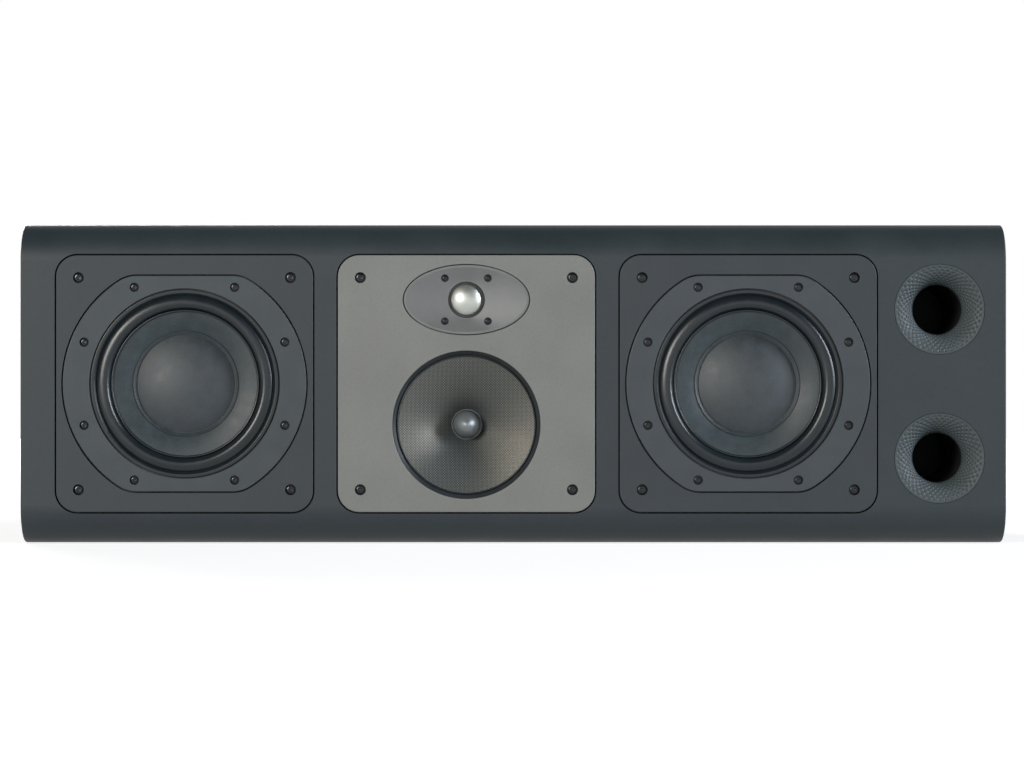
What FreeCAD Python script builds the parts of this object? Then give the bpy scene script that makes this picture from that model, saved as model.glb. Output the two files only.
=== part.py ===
import FreeCAD, Part
import math
import operator
import os
import re
import types
import Sketcher

# Driving sizes in millimetres. A depth is measured from the front face towards the back.
SIZES = {
    # Cabinet shell
    "cabinet_width": 990.0,
    "cabinet_height": 322.0,
    "cabinet_depth": 300.0,
    "edge_roll": 38.0,
    "end_round": 1.6,
    "baffle_thickness": 40.0,
    "panel_thickness": 22.0,
    "brace_thickness": 18.0,
    "brace_margin": 30.0,
    # Room on the front: end to plate, plate to plate, plate to port, port to end, plate to top and bottom
    "plate_margin": 34.4,
    "plate_space": 22.0,
    "port_space": 61.7,
    "port_margin": 66.9,
    "plate_level": 30.5,
    "port_pitch": 149.4,
    # Plates let into the front, which share the room that is left
    "plate_corner": 23.0,
    "plate_thickness": 14.0,
    "plate_gap": 1.4,
    "plate_round": 0.9,
    "plate_screw_margin": 24.0,
    # Socket screws
    "plate_screw_head": 4.25,
    "plate_screw_head_height": 4.6,
    "plate_screw_shank": 2.5,
    "plate_screw_length": 24.0,
    "plate_screw_seat": 6.0,
    "plate_screw_bore": 5.6,
    "unit_screw_head": 3.5,
    "unit_screw_head_height": 3.2,
    "unit_screw_shank": 2.0,
    "unit_screw_length": 9.4,
    "unit_screw_seat": 4.0,
    "unit_screw_bore": 4.8,
    "tweeter_screw_head": 2.7,
    "tweeter_screw_head_height": 2.0,
    "tweeter_screw_shank": 1.5,
    "tweeter_screw_length": 8.0,
    "tweeter_screw_seat": 5.0,
    "tweeter_screw_bore": 3.9,
    "screw_clearance": 0.15,
    # Reflex ports
    "port_lip": 45.0,
    "port_lip_thickness": 4.0,
    "port_lip_gap": 0.5,
    "port_throat": 25.0,
    "port_throat_depth": 24.0,
    "port_flare_curve": 23.0,
    "port_bore": 27.6,
    "port_wall": 2.8,
    "port_length": 185.0,
    "port_tail": 11.0,
    "port_tail_radius": 36.0,
    # Terminal tray and binding posts
    "tray_width": 120.0,
    "tray_height": 74.0,
    "tray_corner": 6.0,
    "tray_wall": 3.0,
    "tray_flange": 15.0,
    "tray_flange_thickness": 3.0,
    "tray_sink": 4.0,
    "tray_depth": 38.0,
    "tray_floor": 4.0,
    "tray_gap": 0.5,
    "post_pitch": 19.0,
    "post_radius": 4.0,
    "post_length": 30.0,
    "post_bore": 2.0,
    "post_bore_depth": 20.0,
    "post_collar": 8.5,
    "post_collar_height": 4.0,
    "post_tail": 14.0,
    "nut_radius": 7.5,
    "nut_height": 5.0,
    "washer_radius": 6.8,
    "washer_thickness": 1.2,
    "knob_radius": 7.5,
    "knob_height": 21.8,
    "knob_clearance": 0.15,
    "knob_flute": 1.1,
    # Crossover and leads
    "board_width": 220.0,
    "board_height": 180.0,
    "board_thickness": 2.0,
    "board_stand": 8.0,
    "board_post": 4.0,
    "coil_radius": 30.0,
    "coil_bore": 12.0,
    "coil_height": 28.0,
    "capacitor_radius": 14.0,
    "capacitor_height": 45.0,
    "lead_radius": 1.8,
    "lead_bend": 12.0,
    "lead_end_gap": 0.4,
    # Side of the square plate that the unit sizes below are given for
    "unit_plate": 261.0,
}

# Sizes of the drive units on that plate. They grow and shrink with the smaller side of the real plates.
UNIT_SIZES = {
    # Bass unit
    "flange_radius": 122.4,
    "flange_flat": 108.4,
    "flange_blend": 33.0,
    "flange_thickness": 7.0,
    "flange_gap": 1.4,
    "flange_round": 0.8,
    "bass_screw_circle": 109.1,
    "bass_mouth": 95.8,
    "bass_basket": 101.5,
    "basket_wall": 5.0,
    "ledge_bore": 89.5,
    "ledge_thickness": 3.2,
    "lip_depth": 1.2,
    "lip_thickness": 3.0,
    "lip_gap": 1.2,
    "lip_bore": 91.0,
    "roll_middle": 81.5,
    "roll_radius": 6.5,
    "roll_crest": 0.4,
    "roll_crease": 3.6,
    "rubber_thickness": 1.0,
    "bass_rim_bore": 70.5,
    "bass_cone_edge": 7.6,
    "bass_cone_depth": 26.5,
    "bass_cone_curve": 80.0,
    "bass_cone_wall": 1.2,
    "cap_radius": 49.0,
    "cap_skirt": 4.2,
    "cap_height": 11.8,
    "cap_wall": 0.8,
    "bass_coil_radius": 26.0,
    "former_wall": 0.6,
    "winding_wall": 0.9,
    "magnet_gap": 0.7,
    "bass_spider_depth": 46.0,
    "bass_spider_radius": 60.5,
    "spider_wall": 1.0,
    "bass_motor_depth": 58.0,
    "bass_front_plate_radius": 52.0,
    "bass_front_plate_thickness": 8.0,
    "bass_magnet_radius": 60.0,
    "bass_magnet_bore": 38.0,
    "bass_magnet_thickness": 20.0,
    "bass_pole_plate_thickness": 8.0,
    "bass_vent_radius": 10.0,
    "bass_winding_length": 16.0,
    "bass_coil_tail": 5.0,
    # Midrange unit
    "midrange_drop": 41.3,
    "midrange_bore": 74.3,
    "midrange_rim": 73.8,
    "midrange_rim_depth": 0.5,
    "midrange_bevel_radius": 70.6,
    "midrange_bevel_depth": 4.2,
    "midrange_flange": 82.0,
    "midrange_flange_thickness": 5.0,
    "midrange_basket": 77.0,
    "foam_bore": 66.5,
    "foam_back": 9.4,
    "midrange_cone_radius": 69.4,
    "midrange_cone_edge": 3.9,
    "midrange_cone_depth": 33.0,
    "midrange_cone_curve": 150.0,
    "midrange_cone_wall": 0.9,
    "midrange_coil_radius": 15.4,
    "midrange_spider_depth": 43.5,
    "midrange_spider_radius": 44.5,
    "midrange_motor_depth": 50.0,
    "midrange_front_plate_radius": 40.0,
    "midrange_front_plate_thickness": 6.0,
    "midrange_magnet_radius": 42.0,
    "midrange_magnet_bore": 24.0,
    "midrange_magnet_thickness": 14.0,
    "midrange_pole_plate_thickness": 7.0,
    "midrange_winding_length": 11.0,
    "plug_radius": 13.7,
    "plug_tip": 11.0,
    "plug_shoulder": 30.0,
    "chamber_radius": 94.0,
    "chamber_wall": 6.0,
    "chamber_depth": 175.0,
    # Tweeter
    "tweeter_rise": 84.4,
    "oval_width": 128.0,
    "oval_height": 71.8,
    "oval_gap": 1.2,
    "oval_rim": 2.2,
    "oval_thickness": 7.0,
    "oval_dish": 4.2,
    "oval_bore": 18.4,
    "oval_bore_edge": 0.9,
    "tweeter_screw_place": 21.6,
    "tweeter_seat_radius": 25.6,
    "tweeter_seat_thickness": 1.0,
    "tweeter_roll_outer": 18.25,
    "tweeter_roll_inner": 16.3,
    "tweeter_roll_wall": 0.5,
    "tweeter_leg": 1.4,
    "dome_radius": 16.1,
    "dome_height": 6.1,
    "dome_wall": 0.4,
    "tweeter_coil_length": 5.4,
    "tweeter_motor_radius": 26.0,
    "tweeter_motor_length": 17.0,
    "tweeter_vent_radius": 11.0,
    "tweeter_tube_length": 136.0,
    "tweeter_tube_tip": 5.0,
}

ACTIONS = {"+": operator.add, "-": operator.sub, "*": operator.mul, "/": operator.truediv}


class Size:
    """A number together with the sheet formula that drives it."""

    def __init__(self, number, formula):
        self.number = number
        self.formula = formula

    def __add__(self, other):
        return join(self, "+", other)

    def __radd__(self, other):
        return join(other, "+", self)

    def __sub__(self, other):
        return join(self, "-", other)

    def __rsub__(self, other):
        return join(other, "-", self)

    def __mul__(self, other):
        return join(self, "*", other)

    def __rmul__(self, other):
        return join(other, "*", self)

    def __truediv__(self, other):
        return join(self, "/", other)

    def __neg__(self):
        return join(0, "-", self)


def as_size(value):
    return value if isinstance(value, Size) else Size(value, f"({value!r})")


def join(left, sign, right):
    left = as_size(left)
    right = as_size(right)
    return Size(ACTIONS[sign](left.number, right.number), f"({left.formula} {sign} {right.formula})")


def root(size):
    return Size(math.sqrt(size.number), f"sqrt({size.formula})")


def bound(value):
    return re.sub(r"\b(?!sqrt\b)([a-z]\w*)", r"Sizes.\1", as_size(value).formula)


doc = FreeCAD.newDocument("loudspeaker")
sheet = doc.addObject("Spreadsheet::Sheet", "Sizes")
S = types.SimpleNamespace()
pieces = {}


def write_cell(name, number, content):
    row = len(vars(S)) + 1
    sheet.set(f"A{row}", name)
    sheet.set(f"B{row}", content)
    sheet.setAlias(f"B{row}", name)
    setattr(S, name, Size(number, name))


def derive(name, value):
    write_cell(name, value.number, "=" + value.formula)


def least(first, second):
    apart = root((first - second) * (first - second))
    return (first + second - apart) / 2


for name, number in SIZES.items():
    write_cell(name, number, str(number))
taken = S.plate_margin + S.plate_space * 2 + S.port_space + S.port_margin
derive("plate_width", (S.cabinet_width - taken) / 3)
derive("plate_height", S.cabinet_height - S.plate_level * 2)
derive("unit_ratio", least(S.plate_width, S.plate_height) / S.unit_plate)
for name, number in UNIT_SIZES.items():
    derive(name, number * S.unit_ratio)
derive("driver_pitch", S.plate_width + S.plate_space)
derive("middle_offset", S.cabinet_width / 2 - S.plate_margin - S.plate_width * 1.5 - S.plate_space)
derive("port_offset", S.cabinet_width / 2 - S.port_margin)


def new_body(name, x, y, z):
    body = doc.addObject("PartDesign::Body", name)
    for axis, value in (("x", x), ("y", y), ("z", z)):
        body.setExpression(f"Placement.Base.{axis}", bound(value))
    return body


def new_sketch(body, plane, offset=0):
    sketch = body.newObject("Sketcher::SketchObject", body.Name + "_sketch")
    origin = [item for item in body.Origin.OriginFeatures if item.Role == plane][0]
    sketch.AttachmentSupport = [(origin, "")]
    sketch.MapMode = "FlatFace"
    sketch.setExpression("AttachmentOffset.Base.z", bound(offset))
    return sketch


def front_sketch(body, depth=0):
    """A sketch facing the front, x to the right and y up, lying at a depth."""
    return new_sketch(body, "XZ_Plane", -as_size(depth))


def constrain(sketch, kind, references, value):
    row = sketch.addConstraint(Sketcher.Constraint(kind, *references, as_size(value).number))
    sketch.renameConstraint(row, f"size_{row}")
    sketch.setExpression(f"Constraints.size_{row}", bound(value))


def pin(sketch, edge, end, x, y):
    for kind, value, axis in (("DistanceX", x, -2), ("DistanceY", y, -1)):
        if not isinstance(value, Size) and value == 0:
            sketch.addConstraint(Sketcher.Constraint("PointOnObject", edge, end, axis))
        else:
            constrain(sketch, kind, (-1, 1, edge, end), value)


def corner_point(corner):
    return FreeCAD.Vector(as_size(corner[0]).number, as_size(corner[1]).number, 0)


def arc_between(start, end, radius):
    middle = (start + end) / 2
    chord = end - start
    left = FreeCAD.Vector(-chord.y, chord.x, 0).normalize()
    rise = math.sqrt(max(0, radius * radius - chord.Length ** 2 / 4))
    centre = middle + left * math.copysign(rise, radius)
    first, last = (start, end) if radius > 0 else (end, start)
    angles = [math.atan2(spot.y - centre.y, spot.x - centre.x) for spot in (first, last)]
    circle = Part.Circle(centre, FreeCAD.Vector(0, 0, 1), abs(radius))
    return Part.ArcOfCircle(circle, angles[0], angles[1])


def outline(sketch, corners):
    """Close a loop through corners (x, y) or (x, y, radius).

    A radius bends the edge that leaves its corner, to the left where positive, to the right where negative.
    """
    first = sketch.GeometryCount
    count = len(corners)
    ends = []
    for index, corner in enumerate(corners):
        start = corner_point(corner)
        end = corner_point(corners[(index + 1) % count])
        bend = as_size(corner[2]) if len(corner) == 3 else None
        edge = arc_between(start, end, bend.number) if bend else Part.LineSegment(start, end)
        sketch.addGeometry(edge, False)
        ends.append((2, 1) if bend and bend.number < 0 else (1, 2))
    for index, corner in enumerate(corners):
        following = (index + 1) % count
        joint = (first + index, ends[index][1], first + following, ends[following][0])
        sketch.addConstraint(Sketcher.Constraint("Coincident", *joint))
        pin(sketch, first + index, ends[index][0], corner[0], corner[1])
        if len(corner) == 3:
            bend = as_size(corner[2])
            constrain(sketch, "Radius", (first + index,), bend if bend.number > 0 else -bend)


def circle(sketch, x, y, radius):
    edge = sketch.GeometryCount
    centre = FreeCAD.Vector(as_size(x).number, as_size(y).number, 0)
    sketch.addGeometry(Part.Circle(centre, FreeCAD.Vector(0, 0, 1), as_size(radius).number), False)
    pin(sketch, edge, 3, x, y)
    constrain(sketch, "Radius", (edge,), radius)


def rounded_rectangle(sketch, x, y, width, height, radius):
    left = x - width / 2
    right = x + width / 2
    low = y - height / 2
    high = y + height / 2
    outline(sketch, [
        (left + radius, low),
        (right - radius, low, radius),
        (right, low + radius),
        (right, high - radius, radius),
        (right - radius, high),
        (left + radius, high, radius),
        (left, high - radius),
        (left, low + radius, radius),
    ])


def revolve(body, corners):
    """Turn a profile of (radius, depth) corners about the unit's axis."""
    sketch = new_sketch(body, "XY_Plane")
    outline(sketch, corners)
    feature = body.newObject("PartDesign::Revolution", body.Name + "_turned")
    feature.Profile = sketch
    feature.ReferenceAxis = (sketch, ["V_Axis"])
    feature.Angle = 360
    return feature


def pad(body, sketch, length, to_back=True):
    feature = body.newObject("PartDesign::Pad", body.Name + "_pad")
    feature.Profile = sketch
    feature.Reversed = to_back
    feature.setExpression("Length", bound(length))
    return feature


def pocket(body, sketch, length=None, to_back=True):
    feature = body.newObject("PartDesign::Pocket", body.Name + "_pocket")
    feature.Profile = sketch
    feature.Reversed = not to_back
    if length is None:
        feature.Type = "ThroughAll"
    else:
        feature.setExpression("Length", bound(length))
    return feature


def soften(body, feature, radius, chosen):
    """Round the edges of a feature that pass the given test."""
    doc.recompute()
    names = [f"Edge{index}" for index, edge in enumerate(feature.Shape.Edges, 1) if chosen(edge)]
    fillet = body.newObject("PartDesign::Fillet", body.Name + "_round")
    fillet.Base = (feature, names)
    fillet.setExpression("Radius", bound(radius))
    return fillet


def turn(item, axis, degrees):
    item.Placement = FreeCAD.Placement(FreeCAD.Vector(), FreeCAD.Rotation(axis, degrees))


def place(item, x, y, z):
    for axis, value in (("x", x), ("y", y), ("z", z)):
        item.setExpression(f"Placement.Base.{axis}", bound(value))


def repeat(name, item, places):
    """Gather copies of one piece, each at a place (x, y, z) with an optional turn about Z in degrees."""
    copies = []
    for index, spot in enumerate(places):
        copy = doc.addObject("App::Link", f"{name}_{index + 1}")
        copy.LinkedObject = item
        if len(spot) == 4:
            turn(copy, FreeCAD.Vector(0, 0, 1), spot[3])
        place(copy, *spot[:3])
        copies.append(copy)
    group = doc.addObject("Part::Compound", name)
    group.Links = copies
    return group


def on_circle(radius, count, first_degrees):
    spots = []
    for index in range(count):
        angle = math.radians(first_degrees + index * 360 / count)
        spots.append((radius * round(math.cos(angle), 9), radius * round(math.sin(angle), 9)))
    return spots


def mirrored_on_circle(radius, degrees):
    """Spots at each angle above the level line, with their three reflections."""
    spots = []
    for angle in degrees:
        across = radius * round(math.cos(math.radians(angle)), 9)
        upright = radius * round(math.sin(math.radians(angle)), 9)
        spots += [(across * side, upright * level) for side in (-1, 1) for level in (-1, 1)]
    return spots


def corner_spots(across, upright):
    return [(across * (side / 2), upright * (level / 2)) for side in (-1, 1) for level in (-1, 1)]


# Where a flat of the bass flange meets its blend
chassis_reach = S.flange_radius - S.flange_blend
chassis_rise = S.flange_flat - S.flange_blend
derive("flange_blend_x", root(chassis_reach * chassis_reach - chassis_rise * chassis_rise))

# Middle of the arc that shapes the bass cone, and the depth of the cone under its dust cap
derive("cone_rim", S.roll_middle - S.roll_radius - 0.3)
derive("cone_bore", S.bass_coil_radius + 0.2)
cone_run = S.cone_rim - S.cone_bore
derive("cone_chord", root(cone_run * cone_run + S.bass_cone_depth * S.bass_cone_depth))
derive("cone_bow", root(S.bass_cone_curve * S.bass_cone_curve - S.cone_chord * S.cone_chord / 4))
derive("cone_arc_x", (S.cone_rim + S.cone_bore) / 2 + S.cone_bow * S.bass_cone_depth / S.cone_chord)
derive("cone_arc_y", S.bass_cone_edge + S.bass_cone_depth / 2 + S.cone_bow * cone_run / S.cone_chord)


def cone_depth_at(radius):
    across = radius - S.cone_arc_x
    return S.cone_arc_y - root(S.bass_cone_curve * S.bass_cone_curve - across * across)


derive("cap_seat", cone_depth_at(S.cap_radius) - 0.15)
derive("cap_skirt_seat", cone_depth_at(S.cap_radius + S.cap_skirt) - 0.15)
derive("midrange_lead", S.midrange_spider_radius + S.lead_radius + 6.1)

width = S.cabinet_width
height = S.cabinet_height
front = S.cabinet_depth * -0.5
back = S.cabinet_depth * 0.5
centre_height = height / 2
middle_x = -S.middle_offset
bass_x = {"bass_left": middle_x - S.driver_pitch, "bass_right": middle_x + S.driver_pitch}
midrange_z = centre_height - S.midrange_drop
tweeter_z = centre_height + S.tweeter_rise
plate_screws = corner_spots(S.plate_width - S.plate_screw_margin * 2, S.plate_height - S.plate_screw_margin * 2)
unit_screws = mirrored_on_circle(S.bass_screw_circle, (22.5, 62.5))
tweeter_screws = corner_spots(S.tweeter_screw_place * 2, S.tweeter_screw_place * 2)
inside_width = width - S.panel_thickness * 2
inside_height = height - S.panel_thickness * 2
tray_y = back - S.tray_sink
tray_reach_x = S.tray_width / 2 + S.tray_flange * 0.6
tray_reach_z = S.tray_height / 2 + S.tray_flange * 0.6
tray_screws = [(tray_reach_x * side, tray_reach_z * level) for side in (-1, 1) for level in (-1, 1)]


# Cabinet

def front_baffle():
    body = new_body("front_baffle", 0, front, centre_height)
    side = new_sketch(body, "YZ_Plane", width * -0.5)
    straight = height / 2 - S.edge_roll
    outline(side, [
        (0, -straight),
        (0, straight, -S.edge_roll),
        (S.edge_roll, height / 2),
        (S.baffle_thickness, height / 2),
        (S.baffle_thickness, height * -0.5),
        (S.edge_roll, height * -0.5, -S.edge_roll),
    ])
    block = pad(body, side, width, to_back=False)
    half = width.number / 2
    rear = S.baffle_thickness.number

    def end_edge(edge):
        box = edge.BoundBox
        at_end = box.XLength < 0.001 and abs(abs(box.XMin) - half) < 0.001
        return at_end and box.YMin < rear - 0.001

    soften(body, block, S.end_round, end_edge)
    recess = front_sketch(body)
    for x in (bass_x["bass_left"], middle_x, bass_x["bass_right"]):
        rounded_rectangle(recess, x, as_size(0), S.plate_width, S.plate_height, S.plate_corner)
    pocket(body, recess, S.plate_thickness)
    holes = front_sketch(body)
    for x in bass_x.values():
        circle(holes, x, 0, S.bass_basket + 3.5)
    circle(holes, middle_x, -S.midrange_drop, S.midrange_flange + 2)
    circle(holes, middle_x, S.tweeter_rise, S.tweeter_motor_radius + 7)
    for side in (-1, 1):
        circle(holes, S.port_offset, S.port_pitch * (side / 2), S.port_lip - 3.6)
    pocket(body, holes)
    rebate = front_sketch(body)
    for side in (-1, 1):
        circle(rebate, S.port_offset, S.port_pitch * (side / 2), S.port_lip + S.port_lip_gap)
    pocket(body, rebate, S.port_lip_thickness)
    pilots = front_sketch(body)
    for x in (bass_x["bass_left"], middle_x, bass_x["bass_right"]):
        for spot in plate_screws:
            circle(pilots, x + spot[0], spot[1], S.plate_screw_shank + S.screw_clearance)
    pocket(body, pilots, S.plate_screw_seat + S.plate_screw_length + 1)
    pieces["front_baffle"] = body


def flat_panel(name, level, upwards):
    """Top or bottom panel, running the whole width behind the front baffle."""
    body = new_body(name, 0, 0, level)
    sketch = new_sketch(body, "XY_Plane")
    outline(sketch, [
        (width * -0.5, front + S.baffle_thickness),
        (width * 0.5, front + S.baffle_thickness),
        (width * 0.5, back),
        (width * -0.5, back),
    ])
    feature = pad(body, sketch, S.panel_thickness, to_back=not upwards)
    half = width.number / 2

    def end_edge(edge):
        box = edge.BoundBox
        at_end = box.XLength < 0.001 and abs(abs(box.XMin) - half) < 0.001
        return at_end and abs(box.ZMax) < 0.001 and box.ZLength < 0.001

    soften(body, feature, S.end_round, end_edge)
    pieces[name] = body


def end_panel(name, x):
    body = new_body(name, x, 0, centre_height)
    sketch = new_sketch(body, "YZ_Plane")
    outline(sketch, [
        (front + S.baffle_thickness, inside_height * -0.5),
        (back, inside_height * -0.5),
        (back, inside_height * 0.5),
        (front + S.baffle_thickness, inside_height * 0.5),
    ])
    pad(body, sketch, S.panel_thickness, to_back=False)
    pieces[name] = body


def rear_panel():
    body = new_body("rear_panel", 0, back, centre_height)
    sketch = front_sketch(body)
    outline(sketch, [
        (inside_width * -0.5, inside_height * -0.5),
        (inside_width * 0.5, inside_height * -0.5),
        (inside_width * 0.5, inside_height * 0.5),
        (inside_width * -0.5, inside_height * 0.5),
    ])
    pad(body, sketch, S.panel_thickness, to_back=False)
    window = front_sketch(body)
    wall = (S.tray_wall + S.tray_gap) * 2
    zero = as_size(0)
    rounded_rectangle(window, zero, zero, S.tray_width + wall, S.tray_height + wall, S.tray_corner + wall / 2)
    pocket(body, window, S.panel_thickness, to_back=False)
    rebate = front_sketch(body)
    rim = (S.tray_flange + S.tray_gap) * 2
    rounded_rectangle(rebate, zero, zero, S.tray_width + rim, S.tray_height + rim, S.tray_corner + S.tray_wall)
    pocket(body, rebate, S.tray_sink + S.tray_flange_thickness, to_back=False)
    pilots = front_sketch(body)
    for x, z in tray_screws:
        circle(pilots, x, z, S.unit_screw_shank + S.screw_clearance)
    pocket(body, pilots, S.tray_sink + S.tray_flange_thickness + S.unit_screw_length, to_back=False)
    pieces["rear_panel"] = body


def brace(name, x):
    """Upright wall between two units, opened by two windows."""
    body = new_body(name, x - S.brace_thickness / 2, 0, centre_height)
    sketch = new_sketch(body, "YZ_Plane")
    near = front + S.baffle_thickness
    far = back - S.panel_thickness
    outline(sketch, [
        (near, inside_height * -0.5),
        (far, inside_height * -0.5),
        (far, inside_height * 0.5),
        (near, inside_height * 0.5),
    ])
    pad(body, sketch, S.brace_thickness, to_back=False)
    windows = new_sketch(body, "YZ_Plane")
    tall = inside_height / 2 - S.brace_margin * 1.5
    middle = (near + far) / 2
    for side in (-1, 1):
        level = (tall / 2 + S.brace_margin / 2) * side
        rounded_rectangle(windows, middle, level, far - near - S.brace_margin * 2, tall, as_size(15.0))
    pocket(body, windows, S.brace_thickness, to_back=False)
    return body


def mid_chamber():
    body = new_body("mid_chamber", middle_x, front, midrange_z)
    outer = S.chamber_radius
    inner = S.chamber_radius - S.chamber_wall
    revolve(body, [
        (outer, S.baffle_thickness),
        (outer, S.chamber_depth),
        (0, S.chamber_depth),
        (0, S.chamber_depth - S.chamber_wall),
        (inner, S.chamber_depth - S.chamber_wall),
        (inner, S.baffle_thickness),
    ])
    passage = front_sketch(body, S.chamber_depth - S.chamber_wall - 1)
    circle(passage, -S.midrange_lead, 0, S.lead_radius + 0.3)
    pocket(body, passage, S.chamber_wall + 2)
    pieces["mid_chamber"] = body


# Square plates

def square_plate(name, x):
    body = new_body(name, x, front, centre_height)
    sketch = front_sketch(body)
    gap = S.plate_gap * 2
    corner = S.plate_corner - S.plate_gap
    rounded_rectangle(sketch, as_size(0), as_size(0), S.plate_width - gap, S.plate_height - gap, corner)
    block = pad(body, sketch, S.plate_thickness)
    soften(body, block, S.plate_round, lambda edge: edge.BoundBox.YMax < 0.001)
    return body


def plate_screw_holes(body):
    bores = front_sketch(body)
    holes = front_sketch(body)
    for x, z in plate_screws:
        circle(bores, x, z, S.plate_screw_bore)
        circle(holes, x, z, S.plate_screw_shank + S.screw_clearance)
    pocket(body, bores, S.plate_screw_seat)
    pocket(body, holes)


def flange_outline(sketch, grow):
    """Circle cut by flats at top and bottom, blended into each other."""
    radius = S.flange_radius + grow
    blend = S.flange_blend + grow
    level = S.flange_flat + grow
    across = S.flange_blend_x
    reach = radius / (radius - blend)
    side_x = across * reach
    side_y = (level - blend) * reach
    outline(sketch, [
        (-across, -level),
        (across, -level, blend),
        (side_x, -side_y, radius),
        (side_x, side_y, blend),
        (across, level),
        (-across, level, blend),
        (-side_x, side_y, radius),
        (-side_x, -side_y, blend),
    ])


def bass_plate(unit):
    name = unit + "_plate"
    body = square_plate(name, bass_x[unit])
    recess = front_sketch(body)
    flange_outline(recess, S.flange_gap)
    pocket(body, recess, S.flange_thickness)
    hole = front_sketch(body)
    circle(hole, 0, 0, S.bass_basket + 1.5)
    pocket(body, hole)
    plate_screw_holes(body)
    pilots = front_sketch(body)
    for x, z in unit_screws:
        circle(pilots, x, z, S.unit_screw_shank + S.screw_clearance)
    pocket(body, pilots)
    pieces[name] = body


# Bass unit

def bass_chassis(unit):
    """Cast flange and basket: a turned casting, trimmed by flats, opened by six windows."""
    name = unit + "_chassis"
    body = new_body(name, bass_x[unit], front, centre_height)
    shelf = S.bass_spider_depth + S.spider_wall
    ledge = S.lip_depth + S.lip_thickness
    revolve(body, [
        (S.bass_mouth, 0),
        (S.flange_radius + 3, 0),
        (S.flange_radius + 3, S.flange_thickness),
        (S.bass_basket, S.flange_thickness),
        (S.bass_basket, S.flange_thickness + 5),
        (S.bass_spider_radius + 6, shelf + 3),
        (S.bass_spider_radius + 6, S.bass_motor_depth),
        (S.bass_coil_radius + 10, S.bass_motor_depth),
        (S.bass_coil_radius + 10, S.bass_motor_depth - 4),
        (S.bass_spider_radius - 6, S.bass_motor_depth - 4),
        (S.bass_spider_radius - 6, shelf),
        (S.bass_spider_radius + 0.5, shelf),
        (S.bass_basket - S.basket_wall, S.flange_thickness + 4),
        (S.bass_basket - S.basket_wall, ledge + S.ledge_thickness),
        (S.ledge_bore, ledge + S.ledge_thickness),
        (S.ledge_bore, ledge),
        (S.bass_mouth, ledge),
    ])
    trim = front_sketch(body)
    circle(trim, 0, 0, S.flange_radius + 8)
    flange_outline(trim, 0)
    trimmed = pocket(body, trim, S.flange_thickness)
    far = S.bass_mouth.number + 5
    soften(body, trimmed, S.flange_round,
           lambda edge: edge.BoundBox.YMax < 0.001 and edge.BoundBox.DiagonalLength > 20
           and edge.Vertexes[0].Point.Length > far)
    windows = front_sketch(body, S.flange_thickness + 7)
    inner = S.bass_spider_radius + 7.5
    outer = S.bass_basket - 4
    for index in range(6):
        first = math.radians(index * 60 + 10)
        last = math.radians(index * 60 + 50)
        outline(windows, [
            (inner * round(math.cos(first), 9), inner * round(math.sin(first), 9)),
            (outer * round(math.cos(first), 9), outer * round(math.sin(first), 9), outer),
            (outer * round(math.cos(last), 9), outer * round(math.sin(last), 9)),
            (inner * round(math.cos(last), 9), inner * round(math.sin(last), 9), -inner),
        ])
    pocket(body, windows, S.bass_motor_depth)
    bores = front_sketch(body)
    holes = front_sketch(body)
    for x, z in unit_screws:
        circle(bores, x, z, S.unit_screw_bore)
        circle(holes, x, z, S.unit_screw_shank + S.screw_clearance)
    pocket(body, bores, S.unit_screw_seat)
    pocket(body, holes, S.flange_thickness)
    pieces[name] = body


def bass_surround(unit):
    """Half-roll rubber edge, its inner leg ending in a rim glued behind the cone."""
    name = unit + "_surround"
    body = new_body(name, bass_x[unit], front, centre_height)
    ledge = S.lip_depth + S.lip_thickness
    base = S.roll_radius + S.roll_crest
    inner_radius = S.roll_radius - S.rubber_thickness
    rise = base - S.roll_crease
    crease = S.roll_middle + root(S.roll_radius * S.roll_radius - rise * rise)
    under = S.roll_middle + root(inner_radius * inner_radius - (base - ledge) * (base - ledge))
    leg = S.roll_middle - S.roll_radius
    rim = S.bass_cone_edge + S.bass_cone_wall + 0.25
    revolve(body, [
        (S.bass_mouth - S.lip_gap, S.lip_depth),
        (S.lip_bore, S.lip_depth),
        (crease, S.roll_crease, -S.roll_radius),
        (leg, base),
        (leg, rim),
        (S.bass_rim_bore, rim + 0.8),
        (S.bass_rim_bore, rim + 0.8 + S.rubber_thickness),
        (leg + S.rubber_thickness, rim + S.rubber_thickness),
        (leg + S.rubber_thickness, base, inner_radius),
        (under, ledge),
        (S.bass_mouth - S.lip_gap, ledge),
    ])
    pieces[name] = body


def bass_cone(unit):
    name = unit + "_cone"
    body = new_body(name, bass_x[unit], front, centre_height)
    edge = S.bass_cone_edge
    neck = edge + S.bass_cone_depth
    revolve(body, [
        (S.cone_rim, edge, -S.bass_cone_curve),
        (S.cone_bore, neck),
        (S.cone_bore, neck + S.bass_cone_wall, S.bass_cone_curve),
        (S.cone_rim, edge + S.bass_cone_wall),
    ])
    pieces[name] = body


def dust_cap(unit):
    """Shallow dome with a narrow skirt that follows the cone."""
    name = unit + "_dust_cap"
    body = new_body(name, bass_x[unit], front, centre_height)
    seat = S.cap_seat
    skirt = S.cap_skirt_seat
    top = seat - S.cap_height
    rise = S.cap_height - S.cap_wall
    inner = S.cap_radius - 1
    outer_curve = (S.cap_radius * S.cap_radius + rise * rise) / (rise * 2)
    inner_curve = (inner * inner + rise * rise) / (rise * 2)
    revolve(body, [
        (0, top, outer_curve),
        (S.cap_radius, seat - S.cap_wall),
        (S.cap_radius + S.cap_skirt, skirt - S.cap_wall),
        (S.cap_radius + S.cap_skirt, skirt),
        (S.cap_radius, seat),
        (inner, seat, -inner_curve),
        (0, top + S.cap_wall),
    ])
    pieces[name] = body


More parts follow.
